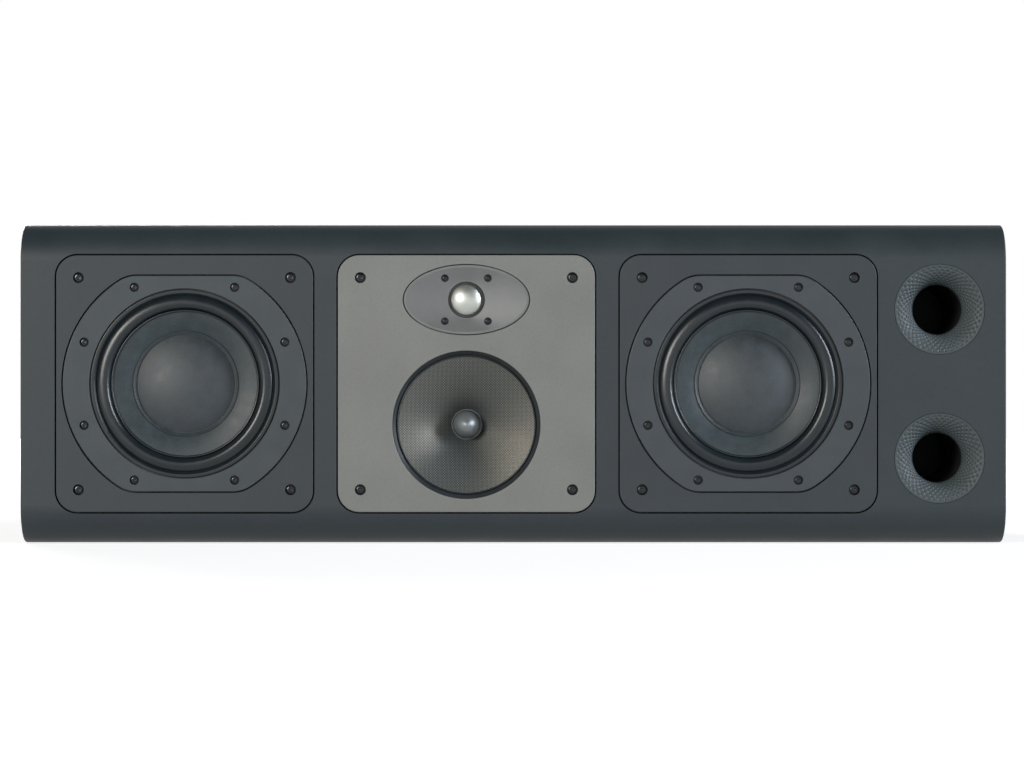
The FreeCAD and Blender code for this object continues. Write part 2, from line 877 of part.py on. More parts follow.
def voice_coil(name, x, z, radius, first, last, winding_middle, winding_length):
    """Winding on a thin former."""
    body = new_body(name, x, front, z)
    start = winding_middle - winding_length / 2
    end = winding_middle + winding_length / 2
    revolve(body, [
        (radius - S.former_wall, first),
        (radius, first),
        (radius, start),
        (radius + S.winding_wall, start),
        (radius + S.winding_wall, end),
        (radius, end),
        (radius, last),
        (radius - S.former_wall, last),
    ])
    pieces[name] = body


def spider(name, x, z, bore, radius, depth, waves):
    """Corrugated disc between the former and the basket shelf."""
    body = new_body(name, x, front, z)
    wall = S.spider_wall
    rim = radius - 5
    step = (rim - bore - 1) / (waves * 2)
    upper = [(bore, depth), (bore + 1, depth)]
    for index in range(1, waves * 2):
        level = depth - 2 if index % 2 else depth
        upper.append((bore + 1 + step * index, level))
    upper += [(rim, depth), (radius, depth)]
    lower = [(r, y + wall) for r, y in reversed(upper)]
    revolve(body, upper + lower)
    pieces[name] = body


def ring(name, x, z, bore, radius, first, last):
    body = new_body(name, x, front, z)
    revolve(body, [(bore, first), (radius, first), (radius, last), (bore, last)])
    pieces[name] = body


def bass_motor(unit):
    x = bass_x[unit]
    z = centre_height
    first = S.bass_motor_depth
    second = first + S.bass_front_plate_thickness
    third = second + S.bass_magnet_thickness
    fourth = third + S.bass_pole_plate_thickness
    gap_outer = S.bass_coil_radius + S.winding_wall + S.magnet_gap
    pole = S.bass_coil_radius - S.former_wall - S.magnet_gap
    ring(unit + "_front_plate", x, z, gap_outer, S.bass_front_plate_radius, first, second)
    ring(unit + "_magnet", x, z, S.bass_magnet_bore, S.bass_magnet_radius, second, third)
    body = new_body(unit + "_pole_plate", x, front, z)
    revolve(body, [
        (S.bass_vent_radius, first),
        (pole, first),
        (pole, third),
        (S.bass_magnet_radius - 2, third),
        (S.bass_magnet_radius - 2, fourth),
        (S.bass_vent_radius, fourth),
    ])
    pieces[unit + "_pole_plate"] = body
    middle = (first + second) / 2
    neck = S.bass_cone_edge + S.bass_cone_depth
    tail = middle + S.bass_winding_length / 2 + S.bass_coil_tail
    voice_coil(unit + "_voice_coil", x, z, S.bass_coil_radius, neck - 1, tail, middle, S.bass_winding_length)
    spider(unit + "_spider", x, z, S.bass_coil_radius + 0.3, S.bass_spider_radius, S.bass_spider_depth, 5)


# Midrange unit and its panel

def oval(name, x, z, half_width, half_height, depth):
    edge = doc.addObject("Part::Ellipse", name)
    edge.setExpression("MajorRadius", bound(half_width))
    edge.setExpression("MinorRadius", bound(half_height))
    turn(edge, FreeCAD.Vector(1, 0, 0), 90)
    place(edge, x, front + depth, z)
    return edge


def oval_block(name, x, z, half_width, half_height, first, length):
    block = doc.addObject("Part::Extrusion", name)
    block.Base = oval(name + "_edge", x, z, half_width, half_height, first)
    block.DirMode = "Custom"
    block.Dir = FreeCAD.Vector(0, 1, 0)
    block.Solid = True
    block.setExpression("LengthFwd", bound(length))
    return block


def cut(name, base, tool):
    item = doc.addObject("Part::Cut", name)
    item.Base = base
    item.Tool = tool
    return item


def mid_panel():
    body = square_plate("mid_panel_block", middle_x)
    holes = front_sketch(body)
    circle(holes, 0, -S.midrange_drop, S.midrange_bore)
    circle(holes, 0, S.tweeter_rise, S.tweeter_motor_radius + 1)
    opened = pocket(body, holes)
    bore = S.midrange_bore.number
    soften(body, opened, S.flange_round,
           lambda edge: edge.BoundBox.YMax < 0.001 and abs(edge.BoundBox.XLength - bore * 2) < 0.01)
    plate_screw_holes(body)
    pilots = front_sketch(body)
    for x, z in tweeter_screws:
        circle(pilots, x, S.tweeter_rise + z, S.tweeter_screw_shank + S.screw_clearance)
    pocket(body, pilots)
    half_width = S.oval_width / 2
    half_height = S.oval_height / 2
    recess = oval_block("tweeter_recess", middle_x, tweeter_z, half_width, half_height, 0, S.oval_thickness)
    pieces["mid_panel"] = cut("mid_panel", body, recess)


def mid_chassis():
    body = new_body("mid_chassis", middle_x, front, midrange_z)
    shelf = S.midrange_spider_depth + S.spider_wall
    motor = S.midrange_motor_depth
    flange = S.plate_thickness + S.midrange_flange_thickness
    revolve(body, [
        (S.midrange_rim, S.midrange_rim_depth),
        (S.midrange_rim, S.plate_thickness),
        (S.midrange_flange, S.plate_thickness),
        (S.midrange_flange, flange),
        (S.midrange_basket, flange),
        (S.midrange_spider_radius + 5.5, motor - 4),
        (S.midrange_spider_radius + 5.5, motor),
        (S.midrange_coil_radius + 6, motor),
        (S.midrange_coil_radius + 6, motor - 3),
        (S.midrange_spider_radius - 6, motor - 3),
        (S.midrange_spider_radius - 6, shelf),
        (S.midrange_spider_radius + 0.5, shelf),
        (S.midrange_basket - 5, flange),
        (S.midrange_basket - 5, S.foam_back + 3),
        (S.foam_bore, S.foam_back + 3),
        (S.foam_bore, S.foam_back),
        (S.midrange_bevel_radius, S.foam_back),
        (S.midrange_bevel_radius, S.midrange_bevel_depth),
    ])
    windows = front_sketch(body, flange + 1)
    inner = S.midrange_spider_radius + 7
    outer = S.midrange_basket - 1
    for index in range(6):
        first = math.radians(index * 60 + 10)
        last = math.radians(index * 60 + 50)
        outline(windows, [
            (inner * round(math.cos(first), 9), inner * round(math.sin(first), 9)),
            (outer * round(math.cos(first), 9), outer * round(math.sin(first), 9), outer),
            (outer * round(math.cos(last), 9), outer * round(math.sin(last), 9)),
            (inner * round(math.cos(last), 9), inner * round(math.sin(last), 9), -inner),
        ])
    pocket(body, windows, motor)
    pieces["mid_chassis"] = body


def mid_edge_ring():
    """Soft foam ring that carries the cone edge."""
    body = new_body("mid_edge_ring", middle_x, front, midrange_z)
    rim = S.midrange_bevel_radius - 0.4
    near = S.midrange_cone_edge + S.midrange_cone_wall + 0.3
    revolve(body, [
        (rim, near),
        (rim, S.foam_back),
        (S.foam_bore, S.foam_back),
        (S.foam_bore, near + (rim - S.foam_bore) * 0.4),
    ])
    pieces["mid_edge_ring"] = body


def mid_cone():
    body = new_body("mid_cone", middle_x, front, midrange_z)
    edge = S.midrange_cone_edge
    neck = edge + S.midrange_cone_depth
    bore = S.midrange_coil_radius + 0.2
    revolve(body, [
        (S.midrange_cone_radius, edge, -S.midrange_cone_curve),
        (bore, neck),
        (bore, neck + S.midrange_cone_wall, S.midrange_cone_curve),
        (S.midrange_cone_radius, edge + S.midrange_cone_wall),
    ])
    pieces["mid_cone"] = body


def phase_plug():
    """Bullet with a straight shank and a pointed nose, standing on the pole."""
    body = new_body("phase_plug", middle_x, front, midrange_z)
    nose = S.plug_shoulder - S.plug_tip
    curve = (S.plug_radius * S.plug_radius + nose * nose) / (S.plug_radius * 2)
    revolve(body, [
        (0, S.plug_tip, curve),
        (S.plug_radius, S.plug_shoulder),
        (S.plug_radius, S.midrange_motor_depth),
        (0, S.midrange_motor_depth),
    ])
    pieces["phase_plug"] = body


def mid_motor():
    first = S.midrange_motor_depth
    second = first + S.midrange_front_plate_thickness
    third = second + S.midrange_magnet_thickness
    fourth = third + S.midrange_pole_plate_thickness
    gap_outer = S.midrange_coil_radius + S.winding_wall + S.magnet_gap
    pole = S.midrange_coil_radius - S.former_wall - S.magnet_gap
    x = middle_x
    z = midrange_z
    ring("mid_front_plate", x, z, gap_outer, S.midrange_front_plate_radius, first, second)
    ring("mid_magnet", x, z, S.midrange_magnet_bore, S.midrange_magnet_radius, second, third)
    body = new_body("mid_pole_plate", x, front, z)
    revolve(body, [
        (0, first),
        (pole, first),
        (pole, third),
        (S.midrange_magnet_radius - 2, third),
        (S.midrange_magnet_radius - 2, fourth),
        (0, fourth),
    ])
    pieces["mid_pole_plate"] = body
    middle = (first + second) / 2
    neck = S.midrange_cone_edge + S.midrange_cone_depth
    tail = middle + S.midrange_winding_length / 2 + 2
    length = S.midrange_winding_length
    voice_coil("mid_voice_coil", x, z, S.midrange_coil_radius, neck - 1, tail, middle, length)
    bore = S.midrange_coil_radius + 0.3
    spider("mid_spider", x, z, bore, S.midrange_spider_radius, S.midrange_spider_depth, 4)


# Tweeter

def tweeter_faceplate():
    """Oval plate, dished from its oval rim to the round mouth of the dome."""
    x = middle_x
    z = tweeter_z
    half_width = S.oval_width / 2 - S.oval_gap
    half_height = S.oval_height / 2 - S.oval_gap
    block = oval_block("oval_block", x, z, half_width, half_height, 0, S.oval_thickness)
    mouth = oval("dish_mouth", x, z, half_width - S.oval_rim, half_height - S.oval_rim, 0)
    floor_radius = S.oval_bore + S.oval_bore_edge
    floor = oval("dish_floor", x, z, floor_radius + 0.001, floor_radius, S.oval_dish)
    dish = doc.addObject("Part::Loft", "dish")
    dish.Sections = [mouth, floor]
    dish.Solid = True
    dish.Ruled = True
    dished = cut("dished_plate", block, dish)
    body = new_body("oval_holes", x, front, z)
    throat = front_sketch(body, -1)
    circle(throat, 0, 0, S.oval_bore)
    pad(body, throat, S.oval_thickness + 2)
    seat = front_sketch(body, S.oval_thickness - S.tweeter_seat_thickness)
    circle(seat, 0, 0, S.tweeter_seat_radius + 0.1)
    pad(body, seat, S.tweeter_seat_thickness + 1)
    drilled = cut("bored_plate", dished, body)
    tools = []
    for index, spot in enumerate(tweeter_screws):
        for kind, radius, depth in (
            ("bore", S.tweeter_screw_bore, S.tweeter_screw_seat),
            ("hole", S.tweeter_screw_shank + S.screw_clearance, S.oval_thickness + 1),
        ):
            tool = doc.addObject("Part::Cylinder", f"tweeter_{kind}_{index + 1}")
            tool.setExpression("Radius", bound(radius))
            tool.setExpression("Height", bound(depth + 1))
            turn(tool, FreeCAD.Vector(1, 0, 0), -90)
            place(tool, x + spot[0], front - 1, z + spot[1])
            tools.append(tool)
    holes = doc.addObject("Part::MultiFuse", "tweeter_screw_holes")
    holes.Shapes = tools
    pieces["tweeter_faceplate"] = cut("tweeter_faceplate", drilled, holes)


def tweeter_unit():
    x = middle_x
    z = tweeter_z
    seat = S.oval_thickness - S.tweeter_seat_thickness
    body = new_body("tweeter_surround", x, front, z)
    wall = S.tweeter_roll_wall
    outer_curve = (S.tweeter_roll_outer - S.tweeter_roll_inner) * 0.53
    inner_curve = (S.tweeter_roll_outer - S.tweeter_roll_inner - wall * 2) * 0.53
    revolve(body, [
        (S.tweeter_seat_radius, seat),
        (S.tweeter_roll_outer, seat, -outer_curve),
        (S.tweeter_roll_inner, seat),
        (S.tweeter_roll_inner, seat + S.tweeter_leg),
        (S.tweeter_roll_inner + wall, seat + S.tweeter_leg),
        (S.tweeter_roll_inner + wall, seat, inner_curve),
        (S.tweeter_roll_outer - wall, seat),
        (S.tweeter_roll_outer - wall, S.oval_thickness),
        (S.tweeter_seat_radius, S.oval_thickness),
    ])
    pieces["tweeter_surround"] = body

    rim = S.oval_thickness
    top = rim - S.dome_height
    rise = S.dome_height
    radius = S.dome_radius
    outer_curve = (radius * radius + rise * rise) / (rise * 2)
    hollow = radius - S.dome_wall
    fall = rise - S.dome_wall
    inner_curve = (hollow * hollow + fall * fall) / (fall * 2)
    body = new_body("tweeter_dome", x, front, z)
    revolve(body, [
        (0, top, outer_curve),
        (radius, rim),
        (radius, rim + 0.5),
        (hollow, rim + 0.5),
        (hollow, rim, -inner_curve),
        (0, top + S.dome_wall),
    ])
    pieces["tweeter_dome"] = body

    first = rim + 0.6
    winding = first + S.tweeter_coil_length * 0.6
    coil_radius = radius - 0.05
    inner = coil_radius - S.dome_wall
    body = new_body("tweeter_voice_coil", x, front, z)
    revolve(body, [
        (inner, first),
        (coil_radius, first),
        (coil_radius, winding - 1.6),
        (coil_radius + 0.4, winding - 1.6),
        (coil_radius + 0.4, winding + 1.6),
        (coil_radius, winding + 1.6),
        (coil_radius, first + S.tweeter_coil_length),
        (inner, first + S.tweeter_coil_length),
    ])
    pieces["tweeter_voice_coil"] = body

    end = rim + S.tweeter_motor_length
    pole = inner - 0.5
    gap_outer = coil_radius + 1.0
    body = new_body("tweeter_motor", x, front, z)
    revolve(body, [
        (S.tweeter_roll_outer, rim),
        (S.tweeter_motor_radius, rim),
        (S.tweeter_motor_radius, end),
        (S.tweeter_vent_radius, end),
        (S.tweeter_vent_radius, rim + 2),
        (pole, rim + 2),
        (pole, end - 5),
        (gap_outer + 3.5, end - 5),
        (gap_outer + 3.5, rim + 5),
        (gap_outer, rim + 5),
        (gap_outer, rim + 1.5),
    ])
    pieces["tweeter_motor"] = body

    tail = end + S.tweeter_tube_length
    body = new_body("tweeter_tube", x, front, z)
    revolve(body, [
        (S.tweeter_vent_radius, end),
        (S.tweeter_vent_radius + 3.5, end),
        (S.tweeter_tube_tip, tail),
        (0, tail),
        (0, tail - 4),
        (S.tweeter_tube_tip - 2, tail - 4),
    ])
    pieces["tweeter_tube"] = body


# Reflex ports

def port(name, z):
    """Flared mouth and tube in one moulding."""
    body = new_body(name, S.port_offset, front, z)
    bore = S.port_bore
    outer = bore + S.port_wall
    throat_end = S.port_throat_depth + 2
    tail = S.port_length
    spread = S.port_tail_radius - bore
    tail_curve = (spread * spread + S.port_tail * S.port_tail) / (spread * 2)
    revolve(body, [
        (S.port_lip, 0, -S.port_flare_curve),
        (S.port_throat, S.port_throat_depth),
        (S.port_throat, throat_end),
        (bore, throat_end),
        (bore, tail, -tail_curve),
        (S.port_tail_radius, tail + S.port_tail),
        (S.port_tail_radius + 2, tail + S.port_tail),
        (S.port_tail_radius + 2, tail + S.port_tail - 2),
        (outer, tail - 3),
        (outer, throat_end + 4),
        (S.port_lip - 4.4, S.port_lip_thickness + 2),
        (S.port_lip - 4.4, S.port_lip_thickness),
        (S.port_lip, S.port_lip_thickness),
    ])
    pieces[name] = body


# Terminals. Here depths run inwards from the tray flange on the back.

def tray():
    body = new_body("terminal_tray", 0, tray_y, centre_height)
    zero = as_size(0)
    rim = S.tray_flange * 2
    flange = front_sketch(body)
    rounded_rectangle(flange, zero, zero, S.tray_width + rim, S.tray_height + rim, S.tray_corner + S.tray_wall)
    pad(body, flange, S.tray_flange_thickness, to_back=False)
    cup = front_sketch(body)
    wall = S.tray_wall * 2
    rounded_rectangle(cup, zero, zero, S.tray_width + wall, S.tray_height + wall, S.tray_corner + S.tray_wall)
    pad(body, cup, S.tray_depth + S.tray_floor, to_back=False)
    hollow = front_sketch(body)
    rounded_rectangle(hollow, zero, zero, S.tray_width, S.tray_height, S.tray_corner)
    pocket(body, hollow, S.tray_depth, to_back=False)
    holes = front_sketch(body)
    for side in (-1, 1):
        circle(holes, S.post_pitch * (side / 2), 0, S.post_radius + 0.2)
    for x, z in tray_screws:
        circle(holes, x, z, S.unit_screw_shank + S.screw_clearance)
    pocket(body, holes, S.tray_depth + S.tray_floor + 1, to_back=False)
    pieces["terminal_tray"] = body


def binding_posts():
    post = new_body("post", 0, 0, 0)
    revolve(post, [
        (S.post_bore, S.post_length - S.post_bore_depth),
        (0, S.post_length - S.post_bore_depth),
        (0, -S.tray_floor - S.post_tail),
        (S.post_radius, -S.tray_floor - S.post_tail),
        (S.post_radius, 0),
        (S.post_collar, 0),
        (S.post_collar, S.post_collar_height),
        (S.post_radius, S.post_collar_height),
        (S.post_radius, S.post_length),
        (S.post_bore, S.post_length),
    ])
    nut = new_body("nut", 0, 0, 0)
    sketch = front_sketch(nut)
    outline(sketch, on_circle(S.nut_radius, 6, 0))
    circle(sketch, 0, 0, S.post_radius + 0.1)
    pad(nut, sketch, S.nut_height, to_back=False)
    spots = [S.post_pitch * (side / 2) for side in (-1, 1)]
    floor = tray_y - S.tray_depth
    pieces["terminal_posts"] = repeat("terminal_posts", post, [(x, floor, centre_height) for x in spots])
    inner = floor - S.tray_floor
    pieces["terminal_nuts"] = repeat("terminal_nuts", nut, [(x, inner, centre_height) for x in spots])
    first = floor + S.post_collar_height
    second = first + S.washer_thickness
    bore = S.post_radius + S.knob_clearance
    for colour, x in zip(("black", "red"), spots):
        washer = new_body(colour + "_washer", x, first, centre_height)
        thick = S.washer_thickness
        revolve(washer, [(bore, 0), (S.washer_radius, 0), (S.washer_radius, thick), (bore, thick)])
        pieces[colour + "_washer"] = washer
        knob = new_body(colour + "_knob", x, second, centre_height)
        revolve(knob, [
            (bore, 0),
            (S.knob_radius - 0.6, 0),
            (S.knob_radius, 0.6),
            (S.knob_radius, S.knob_height - 1.2),
            (S.knob_radius - 1.2, S.knob_height),
            (bore, S.knob_height),
        ])
        flutes = front_sketch(knob, 4)
        for flute_x, flute_z in on_circle(S.knob_radius + 0.4, 12, 15):
            circle(flutes, flute_x, flute_z, S.knob_flute)
        pocket(knob, flutes, S.knob_height)
        pieces[colour + "_knob"] = knob


# Screws

def socket_screw(name, head, head_height, shank, length):
    """Cap screw: the head stands in front of its seat, the shank runs behind it."""
    body = new_body(name, 0, 0, 0)
    revolve(body, [
        (0, -head_height),
        (head - 0.3, -head_height),
        (head, 0.3 - head_height),
        (head, 0),
        (shank, 0),
        (shank, length),
        (0, length),
    ])
    socket = front_sketch(body, -head_height)
    outline(socket, on_circle(shank * 0.9, 6, 0))
    pocket(body, socket, head_height * 0.6)
    return body


def screws():
    plate = socket_screw("plate_screw", S.plate_screw_head, S.plate_screw_head_height,
                         S.plate_screw_shank, S.plate_screw_length)
    unit = socket_screw("unit_screw", S.unit_screw_head, S.unit_screw_head_height,
                        S.unit_screw_shank, S.unit_screw_length)
    small = socket_screw("tweeter_screw", S.tweeter_screw_head, S.tweeter_screw_head_height,
                         S.tweeter_screw_shank, S.tweeter_screw_length)
    spots = []
    for centre in (bass_x["bass_left"], middle_x, bass_x["bass_right"]):
        spots += [(centre + x, front + S.plate_screw_seat, centre_height + z) for x, z in plate_screws]
    pieces["plate_screws"] = repeat("plate_screws", plate, spots)
    spots = []
    for centre in bass_x.values():
        spots += [(centre + x, front + S.unit_screw_seat, centre_height + z) for x, z in unit_screws]
    spots += [(x, tray_y, centre_height + z, 180) for x, z in tray_screws]
    pieces["unit_screws"] = repeat("unit_screws", unit, spots)
    spots = [(middle_x + x, front + S.tweeter_screw_seat, tweeter_z + z) for x, z in tweeter_screws]
    pieces["tweeter_screws"] = repeat("tweeter_screws", small, spots)


# Crossover

def crossover():
    x = bass_x["bass_left"]
    inner = back - S.panel_thickness
    body = new_body("crossover_board", x, inner, centre_height)
    board = front_sketch(body, -S.board_stand)
    zero = as_size(0)
    rounded_rectangle(board, zero, zero, S.board_width, S.board_height, as_size(4.0))
    pad(body, board, S.board_thickness, to_back=False)
    posts = front_sketch(body)
    for side in (-1, 1):
        for level in (-1, 1):
            circle(posts, (S.board_width / 2 - 9) * side, (S.board_height / 2 - 9) * level, S.board_post)
    pad(body, posts, S.board_stand + S.board_thickness / 2, to_back=False)
    pieces["crossover_board"] = body
    face = inner - S.board_stand - S.board_thickness
    coil = new_body("coil", 0, 0, 0)
    tall = -S.coil_height
    revolve(coil, [(S.coil_bore, 0), (S.coil_radius, 0), (S.coil_radius, tall), (S.coil_bore, tall)])
    spots = [(x - 70, face, centre_height + 35), (x - 70, face, centre_height - 35), (x, face, centre_height - 35)]
    pieces["crossover_coils"] = repeat("crossover_coils", coil, spots)
    can = new_body("capacitor", 0, 0, 0)
    tall = -S.capacitor_height
    revolve(can, [(0, 0), (S.capacitor_radius, 0), (S.capacitor_radius, tall), (0, tall)])
    places = [(-20, 52), (15, 52), (50, 52), (50, 8), (50, -35)]
    spots = [(x + across, face, centre_height + rise) for across, rise in places]
    pieces["crossover_capacitors"] = repeat("crossover_capacitors", can, spots)


def lead_wire(points, bend):
    """A path of straight runs joined by tangent arcs."""
    edges = []
    start = points[0]
    for index in range(1, len(points) - 1):
        corner = points[index]
        before = (points[index - 1] - corner).normalize()
        after = (points[index + 1] - corner).normalize()
        half = before.getAngle(after) / 2
        reach = bend / math.tan(half)
        first = corner + before * reach
        last = corner + after * reach
        inward = (before + after).normalize()
        middle = corner + inward * (bend / math.sin(half) - bend)
        edges.append(Part.makeLine(start, first))
        edges.append(Part.Arc(first, middle, last).toShape())
        start = last
    edges.append(Part.makeLine(start, points[-1]))
    return Part.Wire(edges)


def leads():
    """Two runs from the binding posts to the board, and four from the board to the units."""
    gap = S.lead_end_gap
    board = back - S.panel_thickness - S.board_stand - S.board_thickness - gap
    board_edge = bass_x["bass_left"] + S.board_width / 2 - 12
    post_end = tray_y - S.tray_depth - S.tray_floor - S.post_tail - gap
    post_x = S.post_pitch / 2
    left = bass_x["bass_left"]
    right = bass_x["bass_right"]
    basket = S.bass_spider_radius + 6 + S.lead_radius + 0.5
    bass_end = front + S.bass_motor_depth - 8
    high = centre_height + basket
    low = centre_height - basket
    mid_x = middle_x - S.midrange_lead
    mid_end = front + S.midrange_motor_depth - 2
    tweeter_x = middle_x - S.tweeter_motor_radius - S.lead_radius - 0.5
    tweeter_end = front + S.oval_thickness + S.tweeter_motor_length - 2
    row = post_end - 20
    nearer = post_end - 30
    up = centre_height + 54
    higher = centre_height + 61
    routes = [
        [(-post_x, post_end, centre_height), (-post_x, row, centre_height), (-post_x, row, up),
         (board_edge, row, up), (board_edge, board, up)],
        [(post_x, post_end, centre_height), (post_x, nearer, centre_height), (post_x, nearer, higher),
         (board_edge - 8, nearer, higher), (board_edge - 8, board, higher)],
        [(left, board, high), (left, bass_end, high)],
        [(board_edge, board, low), (board_edge, row, low), (right, row, low), (right, bass_end, low)],
        [(board_edge, board, midrange_z), (board_edge, nearer, midrange_z), (mid_x, nearer, midrange_z),
         (mid_x, mid_end, midrange_z)],
        [(board_edge - 20, board, tweeter_z), (board_edge - 20, nearer, tweeter_z),
         (tweeter_x, nearer, tweeter_z), (tweeter_x, tweeter_end, tweeter_z)],
    ]
    solids = []
    for route in routes:
        points = [FreeCAD.Vector(*[as_size(value).number for value in spot]) for spot in route]
        path = lead_wire(points, S.lead_bend.number)
        heading = points[1] - points[0]
        section = Part.Wire([Part.makeCircle(S.lead_radius.number, points[0], heading)])
        solids.append(path.makePipeShell([section], True, False))
    item = doc.addObject("Part::Feature", "internal_leads")
    item.Shape = Part.makeCompound(solids)
    pieces["internal_leads"] = item


front_baffle()
flat_panel("bottom_panel", 0, upwards=True)
flat_panel("top_panel", height, upwards=False)
end_panel("left_end_panel", width * -0.5)
end_panel("right_end_panel", width * 0.5 - S.panel_thickness)
rear_panel()
walls = doc.addObject("Part::Compound", "window_braces")
walls.Links = [
    brace("left_brace", middle_x - S.driver_pitch / 2),
    brace("right_brace", middle_x + S.driver_pitch / 2),
]
pieces["window_braces"] = walls
mid_chamber()
for unit in bass_x:
    bass_plate(unit)
    bass_chassis(unit)
    bass_surround(unit)
    bass_cone(unit)
    dust_cap(unit)
    bass_motor(unit)
mid_panel()
mid_chassis()
mid_edge_ring()
mid_cone()
phase_plug()
mid_motor()
tweeter_faceplate()
tweeter_unit()
port("upper_port", centre_height + S.port_pitch / 2)
port("lower_port", centre_height - S.port_pitch / 2)
tray()
binding_posts()
screws()
crossover()
leads()
doc.recompute()

# Every object must be sound before any file is written
for item in doc.Objects:
    if "Invalid" in item.State or "Error" in item.State:
        raise RuntimeError(f"{item.Name} is not sound: {item.State}")
for name, item in pieces.items():
    if not item.Shape.isValid() or item.Shape.Volume <= 0:
        raise RuntimeError(f"{name} has no valid solid")
os.makedirs("parts", exist_ok=True)
for name, item in pieces.items():
    item.Shape.exportStep(f"parts/{name}.step")
    print(name, len(item.Shape.Solids), round(item.Shape.Volume / 1000, 2), "cm3")
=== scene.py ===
import bmesh
import bpy
import math
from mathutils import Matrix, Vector


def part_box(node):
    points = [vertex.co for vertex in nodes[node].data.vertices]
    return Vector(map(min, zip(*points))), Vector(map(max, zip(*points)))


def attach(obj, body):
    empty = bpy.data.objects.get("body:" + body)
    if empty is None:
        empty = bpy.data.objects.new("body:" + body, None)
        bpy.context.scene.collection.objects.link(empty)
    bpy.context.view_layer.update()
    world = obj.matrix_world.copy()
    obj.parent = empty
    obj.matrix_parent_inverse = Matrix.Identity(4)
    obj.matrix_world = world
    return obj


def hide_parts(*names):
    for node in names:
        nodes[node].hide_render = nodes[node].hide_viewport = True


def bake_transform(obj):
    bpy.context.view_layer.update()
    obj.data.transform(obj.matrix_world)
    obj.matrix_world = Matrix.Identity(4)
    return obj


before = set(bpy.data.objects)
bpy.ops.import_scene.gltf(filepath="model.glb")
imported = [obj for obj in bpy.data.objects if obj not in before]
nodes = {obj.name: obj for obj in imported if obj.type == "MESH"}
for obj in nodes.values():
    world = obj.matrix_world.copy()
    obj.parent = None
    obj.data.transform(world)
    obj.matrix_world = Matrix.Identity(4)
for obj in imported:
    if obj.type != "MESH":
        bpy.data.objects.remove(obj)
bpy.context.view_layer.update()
print("frame loaded,", len(nodes), "nodes")

mm = 0.001  # the pieces' sizes are in millimetres, the stage's in metres
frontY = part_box("front_baffle")[0].y  # depths below run from this face towards the back


def axisOf(node):
    low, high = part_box(node)
    return (low.x + high.x) / 2, (low.z + high.z) / 2


bassAxes = {unit: axisOf(unit + "_magnet") for unit in ("bass_left", "bass_right")}
midAxis = axisOf("mid_magnet")
tweeterAxis = axisOf("tweeter_motor")
portAxes = {port: axisOf(port) for port in ("upper_port", "lower_port")}


def addObject(name, data):
    item = bpy.data.objects.new(name, data)
    bpy.context.scene.collection.objects.link(item)
    return item


# camera, as far off and as long as the photo's perspective asks
cameraSetup = {
    "place": (-0.0013, -3.32, 0.1607),
    "lens": 111.0,
    "sensor": 36.0,
    "farthest": 60.0,
    "tilt": 90,
}

cameraData = bpy.data.cameras.new("photoCamera")
cameraData.lens = cameraSetup["lens"]
cameraData.sensor_width = cameraSetup["sensor"]
cameraData.clip_end = cameraSetup["farthest"]
camera = addObject("photoCamera", cameraData)
camera.location = cameraSetup["place"]
camera.rotation_euler = (math.radians(cameraSetup["tilt"]), 0, 0)
bpy.context.scene.camera = camera
bpy.context.scene.view_settings.view_transform = "Standard"
print("camera set")


# a colour code, as a screen shows it, turned into amounts of light
def linear(code):
    shades = []
    for start in (1, 3, 5):
        part = int(code[start:start + 2], 16) / 255
        shades.append(part / 12.92 if part <= 0.04045 else ((part + 0.055) / 1.055) ** 2.4)
    return (*shades, 1.0)


def addNode(tree, kind, sockets=None, **settings):
    node = tree.nodes.new(kind)
    for key, value in settings.items():
        setattr(node, key, value)
    for key, value in (sockets or {}).items():
        if isinstance(value, bpy.types.NodeSocket):
            tree.links.new(value, node.inputs[key])
        else:
            node.inputs[key].default_value = value
    return node


def emptyTree(owner):
    owner.use_nodes = True
    owner.node_tree.nodes.clear()
    return owner.node_tree


def startMaterial(name, **shaderSockets):
    material = bpy.data.materials.new(name)
    tree = emptyTree(material)
    names = {"metal": "Metallic", "roughness": "Roughness", "ior": "IOR", "specular": "Specular IOR Level",
             "tint": "Specular Tint", "sheen": "Sheen Weight", "coat": "Coat Weight",
             "stretch": "Anisotropic", "turn": "Anisotropic Rotation"}
    sockets = {names[key]: value for key, value in shaderSockets.items()}
    shader = addNode(tree, "ShaderNodeBsdfPrincipled", sockets)
    addNode(tree, "ShaderNodeOutputMaterial", {"Surface": shader.outputs["BSDF"]})
    where = addNode(tree, "ShaderNodeTexCoord").outputs["Object"]
    return material, tree, shader, where


# painted, cast and moulded skins share this: two close tones in soft clouds, a grain, and uneven gloss
grainNoise = {
    "cloudDetail": 3.0, "grainDetail": 2.0, "grainRoughness": 0.6,
    "toneSpan": 0.35, "glossFrom": 0.3, "glossTo": 0.7, "relief": 0.3,
}


